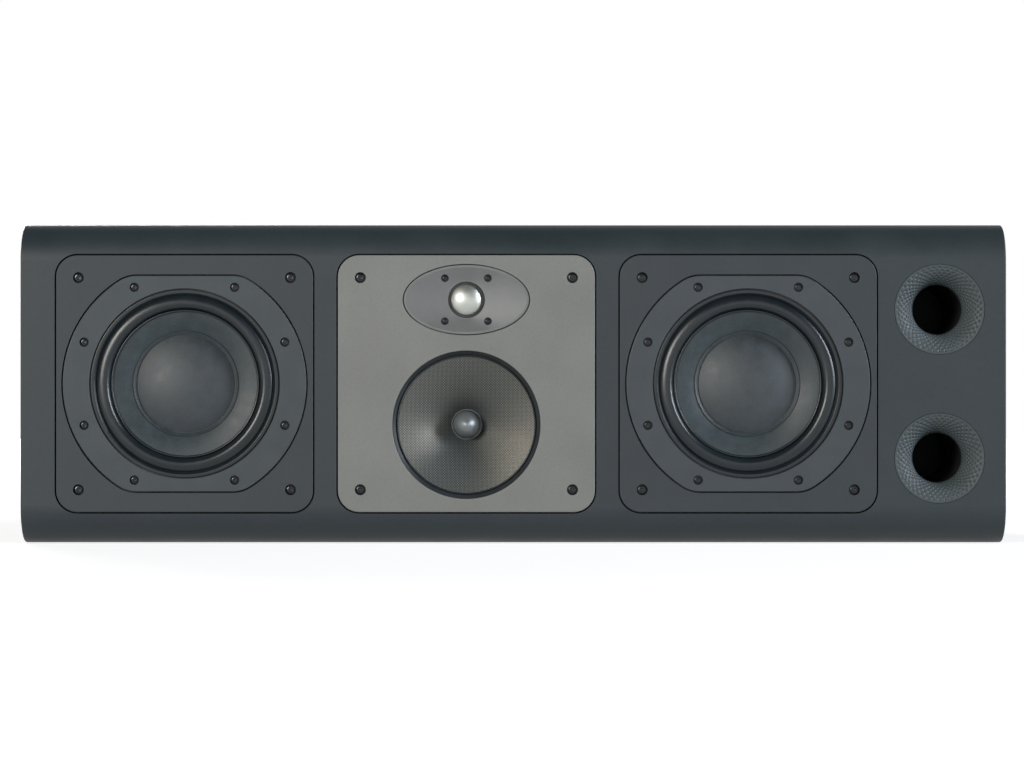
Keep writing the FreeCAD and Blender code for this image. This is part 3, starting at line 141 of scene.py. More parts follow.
def grainedFinish(name, look, **shaderSockets):
    material, tree, shader, where = startMaterial(name, **shaderSockets)
    clouds = addNode(tree, "ShaderNodeTexNoise", {"Vector": where, "Scale": 1 / (look["cloud"] * mm),
                                                  "Detail": grainNoise["cloudDetail"]})
    grain = addNode(tree, "ShaderNodeTexNoise", {"Vector": where, "Scale": 1 / (look["grain"] * mm),
                                                 "Detail": grainNoise["grainDetail"],
                                                 "Roughness": grainNoise["grainRoughness"]})
    both = addNode(tree, "ShaderNodeMath", {0: clouds.outputs["Fac"], 1: grain.outputs["Fac"]},
                   operation="ADD")
    span = grainNoise["toneSpan"]
    spread = addNode(tree, "ShaderNodeMapRange",
                     {"Value": both.outputs[0], "From Min": 1 - span, "From Max": 1 + span})
    tone = addNode(tree, "ShaderNodeMix", {"Factor": spread.outputs["Result"], "A": linear(look["dark"]),
                                           "B": linear(look["light"])}, data_type="RGBA")
    tree.links.new(tone.outputs["Result"], shader.inputs["Base Color"])
    gloss = addNode(tree, "ShaderNodeMapRange",
                    {"Value": clouds.outputs["Fac"], "From Min": grainNoise["glossFrom"],
                     "From Max": grainNoise["glossTo"], "To Min": look["smooth"], "To Max": look["rough"]})
    tree.links.new(gloss.outputs["Result"], shader.inputs["Roughness"])
    bump = addNode(tree, "ShaderNodeBump", {"Height": grain.outputs["Fac"], "Strength": look["bump"],
                                            "Distance": look["grain"] * mm * grainNoise["relief"]})
    tree.links.new(bump.outputs["Normal"], shader.inputs["Normal"])
    return material


# satin lacquer sprayed on board: a soft grey sheen with faint orange peel, drawn at 2.4 mm so that it shows
cabinetLacquer = grainedFinish("satinLacquer", {
    "dark": "#212a2e", "light": "#2a3236", "cloud": 60, "grain": 2.4,
    "smooth": 0.46, "rough": 0.54, "bump": 0.05}, ior=1.5, specular=0.38)

# powder coat on the steel plates: a little drier than the lacquer, with a fine even tooth
platePowder = grainedFinish("powderCoat", {
    "dark": "#2e3438", "light": "#353b3f", "cloud": 45, "grain": 1.6,
    "smooth": 0.46, "rough": 0.54, "bump": 0.07}, ior=1.5, specular=0.3)

# die-cast aluminium under stoved enamel: rounded edges catch a light line, the face has a cast skin
castEnamel = grainedFinish("stovedEnamel", {
    "dark": "#373e42", "light": "#3f4649", "cloud": 30, "grain": 1.9,
    "smooth": 0.36, "rough": 0.44, "bump": 0.08}, ior=1.5, specular=0.3)

# the midrange rim: the same casting in a darker enamel, whose dark tone is partly painted shade on the bevel,
# so the bevel shows as a thin dark ring
rimEnamelAndShade = grainedFinish("darkEnamelAndShade", {
    "dark": "#262b2e", "light": "#2f3437", "cloud": 20, "grain": 1.6,
    "smooth": 0.34, "rough": 0.42, "bump": 0.06}, ior=1.5, specular=0.4)

# warm grey metal-flake paint on the middle panel: paler, with tiny flakes that break up the light
flakePaint = grainedFinish("flakePaint", {
    "dark": "#6b6d6b", "light": "#777976", "cloud": 70, "grain": 1.3,
    "smooth": 0.44, "rough": 0.52, "bump": 0.06}, ior=1.5, metal=0.12, specular=0.4)

# satin anodised aluminium of the oval plate: blasted, so highlights are broad and a little cold
satinAnodised = grainedFinish("satinAnodised", {
    "dark": "#636566", "light": "#6e7070", "cloud": 25, "grain": 1.2,
    "smooth": 0.40, "rough": 0.46, "bump": 0.04}, metal=0.45, specular=0.4)

# spun and polished aluminium dome: bright, with the blur of a thin pressed foil
spunAluminium = grainedFinish("spunAluminium", {
    "dark": "#a8aba5", "light": "#b4b7b1", "cloud": 6, "grain": 1.0,
    "smooth": 0.40, "rough": 0.46, "bump": 0.02}, metal=0.95)

# turned alloy nose, fine-blasted and anodised grey: bright at the tip, falling softly to dark sides
turnedAlloy = grainedFinish("greyAnodised", {
    "dark": "#757b7e", "light": "#83898c", "cloud": 9, "grain": 1.0,
    "smooth": 0.42, "rough": 0.48, "bump": 0.02}, metal=0.6)

# thin drawn foil of the coil former, which shows as a fine pale line round the nose
formerFoil = grainedFinish("drawnFoil", {
    "dark": "#5e6365", "light": "#6c7173", "cloud": 5, "grain": 0.8,
    "smooth": 0.36, "rough": 0.44, "bump": 0.02}, metal=0.7)

# butyl rubber of the bass edge: smooth moulded skin, dark, with a clear wet-looking line along the roll
butylRubber = grainedFinish("butylRubber", {
    "dark": "#0f171b", "light": "#182025", "cloud": 20, "grain": 1.5,
    "smooth": 0.28, "rough": 0.34, "bump": 0.04}, ior=1.52, specular=0.38)

# felted paper pulp with a thin damping coat: speckled, no clear reflection
coatedPulp = grainedFinish("coatedPulp", {
    "dark": "#1f282c", "light": "#323d41", "cloud": 14, "grain": 1.3,
    "smooth": 0.42, "rough": 0.52, "bump": 0.34}, ior=1.48, specular=0.42)

# pressed paper cap with a satin lacquer: the same pulp, closer in grain, with a broader and softer shine
capPulp = grainedFinish("lacqueredPulp", {
    "dark": "#10191d", "light": "#29343a", "cloud": 12, "grain": 1.2,
    "smooth": 0.50, "rough": 0.58, "bump": 0.4}, ior=1.48, specular=0.7)

# moulded polypropylene of the ports: satin grey with a faint spark-eroded texture
portPlastic = grainedFinish("mouldedPolypropylene", {
    "dark": "#3e4649", "light": "#495153", "cloud": 22, "grain": 1.2,
    "smooth": 0.38, "rough": 0.48, "bump": 0.06}, ior=1.49, specular=0.25)

# closed-cell foam of the mid ring and the cloth of the tweeter edge: dark, dry, slightly porous
closedFoam = grainedFinish("closedCellFoam", {
    "dark": "#24292b", "light": "#32383a", "cloud": 8, "grain": 1.1,
    "smooth": 0.70, "rough": 0.85, "bump": 0.30}, ior=1.45, sheen=0.2)

# ABS of the tray and of the port tubes behind the flare: near black, with a fine moulded grain and a soft
# sheen.
# In the tubes the near black is partly the tube's own colour and partly painted shade for the deep bore.
absAndBoreShade = grainedFinish("absAndBoreShade", {
    "dark": "#131415", "light": "#1b1c1e", "cloud": 18, "grain": 1.1,
    "smooth": 0.42, "rough": 0.55, "bump": 0.18}, ior=1.53)

# polished ABS of the clamping knobs: clear gloss over an even colour
redKnobPlastic = grainedFinish("glossRedAbs", {
    "dark": "#8f1013", "light": "#a81518", "cloud": 6, "grain": 1.0,
    "smooth": 0.14, "rough": 0.22, "bump": 0.02}, ior=1.53, coat=0.3)
blackKnobPlastic = grainedFinish("glossBlackAbs", {
    "dark": "#0c0d0e", "light": "#131416", "cloud": 6, "grain": 1.0,
    "smooth": 0.14, "rough": 0.22, "bump": 0.02}, ior=1.53, coat=0.3)

# gold-plated brass posts, washers and nuts: warm mirror with a little haze from handling
platedBrass = grainedFinish("goldPlatedBrass", {
    "dark": "#c79a3e", "light": "#dcb45c", "cloud": 5, "grain": 0.8,
    "smooth": 0.18, "rough": 0.30, "bump": 0.02}, metal=1.0)

# black-oxide steel of the socket screws: dark and oily, with a clear glint on each rim
blackOxide = grainedFinish("blackOxideSteel", {
    "dark": "#2b2d2f", "light": "#3a3c3e", "cloud": 2, "grain": 0.6,
    "smooth": 0.18, "rough": 0.25, "bump": 0.05}, metal=1.0)

# raw fibreboard of the braces and the chamber: dry, brown and matt. This and the next seven finishes only show
# from inside.
rawBoard = grainedFinish("rawFibreboard", {
    "dark": "#8a6f50", "light": "#a1855f", "cloud": 30, "grain": 1.2,
    "smooth": 0.80, "rough": 0.92, "bump": 0.25}, ior=1.45)

# zinc-plated steel of the motors: pale and cold, with a blurred gloss
zincSteel = grainedFinish("zincSteel", {
    "dark": "#8e9294", "light": "#a4a8aa", "cloud": 12, "grain": 1.0,
    "smooth": 0.28, "rough": 0.42, "bump": 0.04}, metal=1.0)

# sintered ferrite of the magnets: dull grey-black with a dry skin
sinteredFerrite = grainedFinish("sinteredFerrite", {
    "dark": "#2b2a2a", "light": "#383737", "cloud": 10, "grain": 0.9,
    "smooth": 0.60, "rough": 0.75, "bump": 0.2}, ior=1.9)

# enamelled copper wire of the coils: warm red-brown with a soft metal glow
enamelledCopper = grainedFinish("enamelledCopper", {
    "dark": "#8c4a26", "light": "#a65c32", "cloud": 4, "grain": 0.7,
    "smooth": 0.26, "rough": 0.38, "bump": 0.15}, metal=1.0)

# phenolic cloth of the spiders: stiff, dry and ochre
phenolicCloth = grainedFinish("phenolicCloth", {
    "dark": "#a88c4a", "light": "#bfa25e", "cloud": 5, "grain": 0.8,
    "smooth": 0.75, "rough": 0.88, "bump": 0.35}, ior=1.45, sheen=0.2)

# lacquered board of the crossover: olive with a soft gloss
boardLacquer = grainedFinish("lacqueredBoard", {
    "dark": "#5e5328", "light": "#6d6233", "cloud": 20, "grain": 1.0,
    "smooth": 0.35, "rough": 0.48, "bump": 0.05}, ior=1.5)

# shrink sleeve of the capacitors: smooth, glossy dark blue
canSleeve = grainedFinish("shrinkSleeve", {
    "dark": "#1d2850", "light": "#263364", "cloud": 12, "grain": 1.0,
    "smooth": 0.22, "rough": 0.32, "bump": 0.03}, ior=1.5)

# vinyl sheath of the leads: black and a little waxy
cableSheath = grainedFinish("cableSheath", {
    "dark": "#151617", "light": "#1e1f20", "cloud": 8, "grain": 0.9,
    "smooth": 0.45, "rough": 0.60, "bump": 0.08}, ior=1.5)


# woven aromatic fibre, resin-stiffened: grey threads over and under, with painted shade in the hollows between
# them, and a warm glint where a thread's arch turns to the light.
# Real thread spacing is near 0.6 mm. It is drawn at 1.3 mm, so that the weave shows at this size.
weave = {
    "thread": 1.3, "pale": "#757c7b", "dark": "#38444b", "gap": "#0b0f12", "glint": "#fff6e4",
    "roughness": 0.38, "ior": 1.55, "specular": 0.65, "stretch": 0.8, "turn": 0.25,
    "bump": 1.0, "relief": 0.08, "archLow": 0.5, "crownFrom": 0.25, "crownTo": 0.7,
}
waveRate = 20  # bands of a wave texture in 2 pi of its scaled coordinate


def wovenFibre():
    material, tree, shader, where = startMaterial(
        "wovenFibre", roughness=weave["roughness"], ior=weave["ior"], specular=weave["specular"],
        tint=linear(weave["glint"]), stretch=weave["stretch"], turn=weave["turn"])
    # the arched threads spread each glint along the cone's slope
    around = addNode(tree, "ShaderNodeTangent", direction_type="RADIAL", axis="Y")
    tree.links.new(around.outputs["Tangent"], shader.inputs["Tangent"])
    apart = addNode(tree, "ShaderNodeSeparateXYZ", {"Vector": where})
    flat = addNode(tree, "ShaderNodeCombineXYZ", {"X": apart.outputs["X"], "Y": apart.outputs["Z"]})
    pitch = weave["thread"] * mm
    waves = {"Vector": flat.outputs[0], "Scale": 2 * math.pi / (waveRate * pitch),
             "Phase Offset": -math.pi / 2}
    upright = addNode(tree, "ShaderNodeTexWave", waves, bands_direction="X")
    across = addNode(tree, "ShaderNodeTexWave", waves, bands_direction="Y")
    over = addNode(tree, "ShaderNodeTexChecker", {"Vector": flat.outputs[0], "Scale": 1 / pitch})
    thread = addNode(tree, "ShaderNodeMix", {"Factor": over.outputs["Fac"], "A": upright.outputs["Fac"],
                                             "B": across.outputs["Fac"]})
    arch = addNode(tree, "ShaderNodeMix", {"Factor": over.outputs["Fac"], "A": across.outputs["Fac"],
                                           "B": upright.outputs["Fac"]})
    rise = addNode(tree, "ShaderNodeMath", {0: arch.outputs["Result"], 1: 1 - weave["archLow"],
                                            2: weave["archLow"]}, operation="MULTIPLY_ADD")
    height = addNode(tree, "ShaderNodeMath", {0: thread.outputs["Result"], 1: rise.outputs[0]},
                     operation="MULTIPLY")
    strand = addNode(tree, "ShaderNodeMix", {"Factor": over.outputs["Fac"], "A": linear(weave["pale"]),
                                             "B": linear(weave["dark"])}, data_type="RGBA")
    # painted shade: the lower the weave sits, the nearer its colour runs to the dark hollow tone, whatever the
    # light
    shadeMask = addNode(tree, "ShaderNodeMapRange", {"Value": height.outputs[0], "From Min": weave["crownFrom"],
                                                 "From Max": weave["crownTo"]},
                    interpolation_type="SMOOTHSTEP")
    tone = addNode(tree, "ShaderNodeMix", {"Factor": shadeMask.outputs["Result"], "A": linear(weave["gap"]),
                                           "B": strand.outputs["Result"]}, data_type="RGBA")
    tree.links.new(tone.outputs["Result"], shader.inputs["Base Color"])
    bump = addNode(tree, "ShaderNodeBump", {"Height": height.outputs[0], "Strength": weave["bump"],
                                            "Distance": pitch * weave["relief"]})
    tree.links.new(bump.outputs["Normal"], shader.inputs["Normal"])
    return material


weaveCloth = wovenFibre()
print("materials made")


# turned pieces

weldDistance = 1e-7
roundingSteps = 5
fineSteps = 192  # round the large rims, whose outline shows
smallSteps = 128


def arcPoints(centre, radius, first, last, count):
    points = []
    for step in range(count + 1):
        angle = math.radians(first + (last - first) * step / count)
        points.append((centre[0] + radius * math.cos(angle), centre[1] + radius * math.sin(angle)))
    return points


# points of an outline whose corners are (radius, depth) or (radius, depth, rounding)
def roundedPath(corners, closed=True):
    points = []
    count = len(corners)
    for index, corner in enumerate(corners):
        here = Vector(corner[:2])
        rounding = corner[2] if len(corner) == 3 else 0
        if not rounding or (not closed and index in (0, count - 1)):
            points.append(tuple(here))
            continue
        before = (Vector(corners[index - 1][:2]) - here).normalized()
        after = (Vector(corners[(index + 1) % count][:2]) - here).normalized()
        half = before.angle(after) / 2
        middle = here + (before + after).normalized() * (rounding / math.sin(half))
        first = here + before * (rounding / math.tan(half)) - middle
        last = here + after * (rounding / math.tan(half)) - middle
        start = math.degrees(math.atan2(first.y, first.x))
        turn = (math.degrees(math.atan2(last.y, last.x)) - start + 180) % 360 - 180
        points += arcPoints(middle, rounding, start, start + turn, roundingSteps)
    return points


def finishMesh(name, build, material, sharpAngle=40):
    bmesh.ops.remove_doubles(build, verts=build.verts, dist=weldDistance)
    bmesh.ops.recalc_face_normals(build, faces=build.faces)
    mesh = bpy.data.meshes.new(name)
    build.to_mesh(mesh)
    build.free()
    mesh.shade_smooth()
    mesh.set_sharp_from_angle(angle=math.radians(sharpAngle))
    mesh.materials.append(material)
    return addObject(name, mesh)


# a ring of vertices round an axis that runs front to back, or a single vertex on that axis
def addRing(build, axis, radius, y, steps):
    if radius == 0:
        return [build.verts.new((axis[0], y, axis[1]))]
    ring = []
    for step in range(steps):
        angle = 2 * math.pi * step / steps
        ring.append(build.verts.new((axis[0] + radius * mm * math.cos(angle), y,
                                     axis[1] + radius * mm * math.sin(angle))))
    return ring


# faces between neighbouring rings, where a ring may be a single vertex
def joinRings(build, pairs, steps):
    for near, far in pairs:
        for step in range(steps):
            following = (step + 1) % steps
            corners = [near[step % len(near)], near[following % len(near)],
                       far[following % len(far)], far[step % len(far)]]
            corners = list(dict.fromkeys(corners))
            if len(corners) > 2:
                build.faces.new(corners)


# turns a profile of (radius, depth) in millimetres about an axis that runs front to back
def turnedPiece(name, profile, axis, material, steps=160, closed=True, sharpAngle=40):
    build = bmesh.new()
    rings = [addRing(build, axis, radius, frontY + depth * mm, steps) for radius, depth in profile]
    pairs = list(zip(rings, rings[1:]))
    if closed:
        pairs.append((rings[-1], rings[0]))
    joinRings(build, pairs, steps)
    return finishMesh(name, build, material, sharpAngle)


# points of a shallow dome from its top to its rim
def domePoints(rim, height, top, steps):
    curve = (rim ** 2 + height ** 2) / (2 * height)
    points = []
    for step in range(steps + 1):
        radius = rim * step / steps
        points.append((radius, top + curve - math.sqrt(curve ** 2 - radius ** 2)))
    return points


# depth at a radius of a cone bent to an arc between its rim and its neck
def coneDepthAt(size, radius):
    run = size["coneRim"] - size["coneBore"]
    chord = math.hypot(run, size["coneDepth"])
    bow = math.sqrt(size["coneCurve"] ** 2 - chord ** 2 / 4)
    across = (size["coneRim"] + size["coneBore"]) / 2 + bow * size["coneDepth"] / chord
    deep = size["coneEdge"] + size["coneDepth"] / 2 + bow * run / chord
    return deep - math.sqrt(size["coneCurve"] ** 2 - (radius - across) ** 2)


def coneProfile(size):
    front = []
    count = size["coneSteps"]
    for step in range(count + 1):
        radius = size["coneRim"] + (size["coneBore"] - size["coneRim"]) * step / count
        front.append((radius, coneDepthAt(size, radius)))
    return front + [(radius, depth + size["coneWall"]) for radius, depth in reversed(front)]


# a round bead, partly sunk into the front of a cone
def beadProfile(size):
    depth = coneDepthAt(size, size["bead"]) - size["beadRadius"] * size["beadRise"]
    return arcPoints((size["bead"], depth), size["beadRadius"], 0, 360, size["beadSteps"])[:-1]


# bass units: rubber edge, cone and cap
bassUnit = {
    "lipOuter": 94.6, "lipBore": 91.0, "lipDepth": 1.2, "lipRound": 0.7, "boreRound": 0.9, "boreFall": 1.3,
    "ledge": 4.2, "rollMiddle": 81.2, "rollInner": 6.2, "rollOuter": 8.6, "rollHigh": 6.5, "rollCrest": 0.4,
    "crease": 3.6, "rubber": 1.0, "legDrop": 2.0, "rimBore": 70.5, "rim": 9.05, "rimFall": 0.8,
    "rollSteps": 44, "underSteps": 26, "travel": (3.6, 8.6),
    "coneRim": 74.7, "coneBore": 26.2, "coneEdge": 7.6, "coneDepth": 26.5, "coneCurve": 80.0,
    "coneWall": 1.2, "coneSteps": 44,
    "bead": 73.6, "beadRadius": 1.3, "beadRise": 0.6, "beadSteps": 16, "beadAngle": 60,
    "capRadius": 49.0, "capSkirt": 4.2, "capHeight": 11.8, "capWall": 0.8, "capLift": 0.15, "capTaper": 0.98,
    "capLand": 1.0, "capSteps": 40, "skirtRound": 0.5,
    "grooveFrom": 0.2, "grooveTo": 0.7, "grooveSide": 0.9, "grooveFloor": 0.1,
}


def makeBassUnit(unit, axis):
    size = bassUnit
    base = size["rollHigh"] + size["rollCrest"]
    leg = size["rollMiddle"] - size["rollInner"]
    creaseAngle = math.degrees(math.asin((size["crease"] - base) / size["rollHigh"]))
    underAngle = math.degrees(math.asin((size["ledge"] - base) / (size["rollHigh"] - size["rubber"])))

    # the roll is two quarter ovals that share a crest
    def rollPoints(shrink, first, last, count):
        points = []
        for across, up in arcPoints((0, 0), 1, first, last, count):
            wide = size["rollOuter"] if across > 0 else size["rollInner"]
            points.append((size["rollMiddle"] + across * (wide - shrink),
                           base + up * (size["rollHigh"] - shrink)))
        return points

    boreCorner = (size["lipBore"], size["lipDepth"], size["boreRound"])
    edge = roundedPath([(size["lipOuter"], size["ledge"]),
                        (size["lipOuter"], size["lipDepth"], size["lipRound"]),
                        boreCorner], closed=False)[:-1]
    edge += roundedPath([(size["lipOuter"], size["lipDepth"]), boreCorner,
                         (size["lipBore"] - size["boreFall"], size["crease"])], closed=False)[1:-1]
    edge += rollPoints(0, creaseAngle, -180, size["rollSteps"])
    rimFoot = size["rim"] + size["rimFall"]
    edge += [(leg, base + size["legDrop"]), (leg, size["rim"]), (size["rimBore"], rimFoot),
             (size["rimBore"], rimFoot + size["rubber"]),
             (leg + size["rubber"], size["rim"] + size["rubber"])]
    edge += rollPoints(size["rubber"], -180, underAngle, size["underSteps"])
    surround = turnedPiece(unit + "_rubberEdge", edge, axis, butylRubber, steps=fineSteps)
    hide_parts(unit + "_surround")
    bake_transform(surround)

    cone = turnedPiece(unit + "_paperCone", coneProfile(size), axis, coatedPulp, steps=fineSteps)
    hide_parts(unit + "_cone")
    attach(cone, unit + "_moving")

    # a bead of glue seals the rubber to the rim of the cone
    glue = turnedPiece(unit + "_glueBead", beadProfile(size), axis, butylRubber, steps=fineSteps,
                       sharpAngle=size["beadAngle"])
    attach(glue, unit + "_moving")

    rim = size["capRadius"] + size["capSkirt"]
    seat = coneDepthAt(size, size["capRadius"]) - size["capLift"]
    skirt = coneDepthAt(size, rim) - size["capLift"]
    top = seat - size["capHeight"]
    dome = domePoints(size["capRadius"], size["capHeight"] - size["capWall"], top, size["capSteps"])
    # a fine groove parts the dome from its skirt
    lowest = seat - size["grooveFloor"]
    foot = [(size["capRadius"] + size["grooveFrom"], lowest), (size["capRadius"] + size["grooveTo"], lowest),
            (size["capRadius"] + size["grooveSide"], seat - size["capWall"] - size["grooveFloor"]),
            (rim - size["skirtRound"], skirt - size["capWall"]), (rim, skirt - size["skirtRound"]),
            (rim, skirt), (size["capRadius"], seat), (size["capRadius"] - size["capLand"], seat)]
    hollow = [(radius * size["capTaper"], depth + size["capWall"]) for radius, depth in reversed(dome[:-1])]
    cap = turnedPiece(unit + "_paperCap", dome + foot + hollow, axis, capPulp, closed=False)
    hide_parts(unit + "_dust_cap")
    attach(cap, unit + "_moving")


for unit, axis in bassAxes.items():
    makeBassUnit(unit, axis)
print("bass units made")


# midrange: woven cone, foam ring and pointed plug
midUnit = {
    "coneRim": 69.4, "coneEdge": 3.9, "coneBore": 15.6, "coneDepth": 33.0, "coneCurve": 150.0,
    "coneWall": 0.9, "coneSteps": 64,
    "bead": 69.0, "beadRadius": 0.8, "beadRise": 0.2, "beadSteps": 16, "beadAngle": 60,
    "ringOuter": 70.2, "ringBore": 66.5, "ringNear": 5.1, "ringBack": 9.4,
    "ringSlope": 0.4, "ringRound": 0.4,
    "plugRadius": 13.7, "plugTip": 11.0, "plugShoulder": 30.0, "plugBase": 50.0, "plugBlunt": 0.25,
    "plugSteps": 40,
    # points of the groove, each as how far in and how far behind the shoulder
    "plugGroove": ((0, 1.2), (0.35, 1.5), (0.35, 2.1), (0, 2.4)),
}


def makeMidrange():
    size = midUnit
    cone = turnedPiece("mid_wovenCone", coneProfile(size), midAxis, weaveCloth, steps=fineSteps)
    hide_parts("mid_cone")
    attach(cone, "mid_moving")

    # rolled edge of the cone, which draws a pale line towards the light and a dark one away from it
    edge = turnedPiece("mid_rolledEdge", beadProfile(size), midAxis, butylRubber, steps=fineSteps,
                       sharpAngle=size["beadAngle"])
    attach(edge, "mid_moving")

    slope = (size["ringOuter"] - size["ringBore"]) * size["ringSlope"]
    ring = roundedPath([(size["ringOuter"], size["ringNear"], size["ringRound"]),
                        (size["ringOuter"], size["ringBack"]), (size["ringBore"], size["ringBack"]),
                        (size["ringBore"], size["ringNear"] + slope, size["ringRound"])])
    foam = turnedPiece("mid_foamRing", ring, midAxis, closedFoam)
    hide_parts("mid_edge_ring")
    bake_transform(foam)

    # nose with a slightly blunt point, a straight shank, and a fine groove at the shoulder
    nose = size["plugShoulder"] - size["plugTip"]
    curve = (size["plugRadius"] ** 2 + nose ** 2) / (2 * size["plugRadius"])
    plug = [(0, size["plugTip"] + size["plugBlunt"])]
    for step in range(1, size["plugSteps"] + 1):
        depth = size["plugTip"] + nose * step / size["plugSteps"]
        radius = size["plugRadius"] - curve + math.sqrt(curve ** 2 - (size["plugShoulder"] - depth) ** 2)
        plug.append((radius, depth))
    plug += [(size["plugRadius"] - inward, size["plugShoulder"] + behind)
             for inward, behind in size["plugGroove"]]
    plug += [(size["plugRadius"], size["plugBase"]), (0, size["plugBase"])]
    bullet = turnedPiece("mid_nosePlug", plug, midAxis, turnedAlloy, steps=smallSteps, closed=False)
    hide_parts("phase_plug")
    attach(bullet, "cabinet")


makeMidrange()
print("midrange made")


# tweeter: bright dome in a soft half-roll
tweeterUnit = {
    "domeRadius": 16.1, "domeHeight": 6.1, "domeWall": 0.4, "domeSkirt": 0.5, "domeSteps": 32, "rim": 7.0,
    "seat": 6.0, "seatRadius": 25.6, "rollOuter": 18.25, "rollInner": 16.3, "rollWall": 0.5, "leg": 1.4,
    "rollSteps": 20, "underSteps": 16, "travel": (6.05, 7.35),
}


def makeTweeter():
    size = tweeterUnit
    top = size["rim"] - size["domeHeight"]
    outside = domePoints(size["domeRadius"], size["domeHeight"], top, size["domeSteps"])
    shrink = (size["domeRadius"] - size["domeWall"]) / size["domeRadius"]
    fall = (size["domeHeight"] - size["domeWall"]) / size["domeHeight"]
    inside = [(radius * shrink, top + size["domeWall"] + (depth - top) * fall)
              for radius, depth in reversed(outside)]
    foot = size["rim"] + size["domeSkirt"]
    skirt = [(size["domeRadius"], foot), (size["domeRadius"] - size["domeWall"], foot)]
    dome = turnedPiece("tweeter_brightDome", outside + skirt + inside, tweeterAxis, spunAluminium,
                       steps=smallSteps, closed=False)
    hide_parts("tweeter_dome")
    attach(dome, "tweeter_moving")

    width = (size["rollOuter"] - size["rollInner"]) / 2
    middle = (size["rollOuter"] + size["rollInner"]) / 2
    roll = [(size["seatRadius"], size["seat"])]
    roll += arcPoints((middle, size["seat"]), width, 0, -180, size["rollSteps"])
    roll += [(size["rollInner"], size["seat"] + size["leg"]),
             (size["rollInner"] + size["rollWall"], size["seat"] + size["leg"])]
    roll += arcPoints((middle, size["seat"]), width - size["rollWall"], -180, 0, size["underSteps"])
    roll += [(size["rollOuter"] - size["rollWall"], size["rim"]), (size["seatRadius"], size["rim"])]
    edge = turnedPiece("tweeter_softEdge", roll, tweeterAxis, closedFoam, steps=smallSteps)
    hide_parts("tweeter_surround")
    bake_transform(edge)


makeTweeter()
print("tweeter made")


def addPoints(name, spots):
    mesh = bpy.data.meshes.new(name)
    mesh.from_pydata(spots, [], [])
    return addObject(name, mesh)


def dropObject(item):
    mesh = item.data
    bpy.data.objects.remove(item)
    bpy.data.meshes.remove(mesh)


# runs a geometry-nodes tree on an object, with its inputs set by name, and keeps the result as a plain piece
def runTree(name, worker, tree, inputs):
    modifier = worker.modifiers.new(tree.name, "NODES")
    modifier.node_group = tree
    for item in tree.interface.items_tree:
        if item.item_type == "SOCKET" and item.in_out == "INPUT" and item.name in inputs:
            modifier[item.identifier] = inputs[item.name]
    bpy.context.view_layer.update()
    ready = worker.evaluated_get(bpy.context.evaluated_depsgraph_get())
    mesh = bpy.data.meshes.new_from_object(ready)
    mesh.name = name
    worker.modifiers.clear()
    piece = addObject(name, mesh)
    dropObject(worker)
    return piece


# a geometry-nodes tree whose inputs have these names and kinds
def startTree(name, inputs):
    tree = bpy.data.node_groups.new(name, "GeometryNodeTree")
    tree.is_modifier = True
    tree.interface.new_socket("Geometry", in_out="INPUT", socket_type="NodeSocketGeometry")
    for label, kind in inputs.items():
        tree.interface.new_socket(label, in_out="INPUT", socket_type="NodeSocket" + kind)
    tree.interface.new_socket("Geometry", in_out="OUTPUT", socket_type="NodeSocketGeometry")
    return tree, addNode(tree, "NodeGroupInput").outputs


# ports: flared mouth and tube, with rings of small dimples pressed into the flare
portShape = {
    "lip": 45.0, "lipThick": 4.0, "throat": 25.0, "throatDepth": 24.0, "throatLand": 2.0, "flareCurve": 23.0,
    "bore": 27.6, "wall": 2.8, "length": 185.0, "shoulder": 4.0, "rebate": 4.4, "rebateDeep": 2.0,
    "tail": 11.0, "tailRadius": 36.0, "tailLip": 2.0, "tailNeck": 3.0,
    "dimpleRings": 8, "dimplesPerRing": 44, "dimpleFirst": 0.10, "dimpleLast": 0.74,
    "dimpleRadius": 1.9, "dimpleDepth": 1.0,
    "steps": 460, "flareSteps": 84, "tailSteps": 12,
}


def dimpleTree():
    tree, given = startTree("portDimples", {
        "Dimple centres": "Object", "Dimple radius": "Float", "Dimple depth": "Float",
        "Finish": "Material", "Tube lining and shade": "Material", "Tube start": "Float"})
    centres = addNode(tree, "GeometryNodeObjectInfo", {"Object": given["Dimple centres"]},
                      transform_space="ORIGINAL")
    near = addNode(tree, "GeometryNodeProximity", {"Geometry": centres.outputs["Geometry"]},
                   target_element="POINTS")
    depth = addNode(tree, "ShaderNodeMapRange",
                    {"Value": near.outputs["Distance"], "From Min": 0.0, "From Max": given["Dimple radius"],
                     "To Min": given["Dimple depth"], "To Max": 0.0}, interpolation_type="SMOOTHSTEP")
    inward = addNode(tree, "ShaderNodeMath", {0: depth.outputs["Result"], 1: -1.0}, operation="MULTIPLY")
    normal = addNode(tree, "GeometryNodeInputNormal")
    push = addNode(tree, "ShaderNodeVectorMath", {0: normal.outputs["Normal"], "Scale": inward.outputs[0]},
                   operation="SCALE")
    moved = addNode(tree, "GeometryNodeSetPosition", {"Geometry": given["Geometry"],
                                                      "Offset": push.outputs["Vector"]})
    real = addNode(tree, "GeometryNodeRealizeInstances", {"Geometry": moved.outputs["Geometry"]})
    painted = addNode(tree, "GeometryNodeSetMaterial", {"Geometry": real.outputs["Geometry"],
                                                        "Material": given["Finish"]})
    place = addNode(tree, "GeometryNodeInputPosition")
    apart = addNode(tree, "ShaderNodeSeparateXYZ", {"Vector": place.outputs["Position"]})
    # painted shade: faces past the throat take the near-black lining, which stands in part for the shade deep
    # in the bore
    behind = addNode(tree, "FunctionNodeCompare", {"A": apart.outputs["Y"], "B": given["Tube start"]},
                     data_type="FLOAT", operation="GREATER_THAN")
    linedAndShaded = addNode(tree, "GeometryNodeSetMaterial", {"Geometry": painted.outputs["Geometry"],
                                                      "Selection": behind.outputs["Result"],
                                                      "Material": given["Tube lining and shade"]})
    addNode(tree, "NodeGroupOutput", {"Geometry": linedAndShaded.outputs["Geometry"]})
    return tree


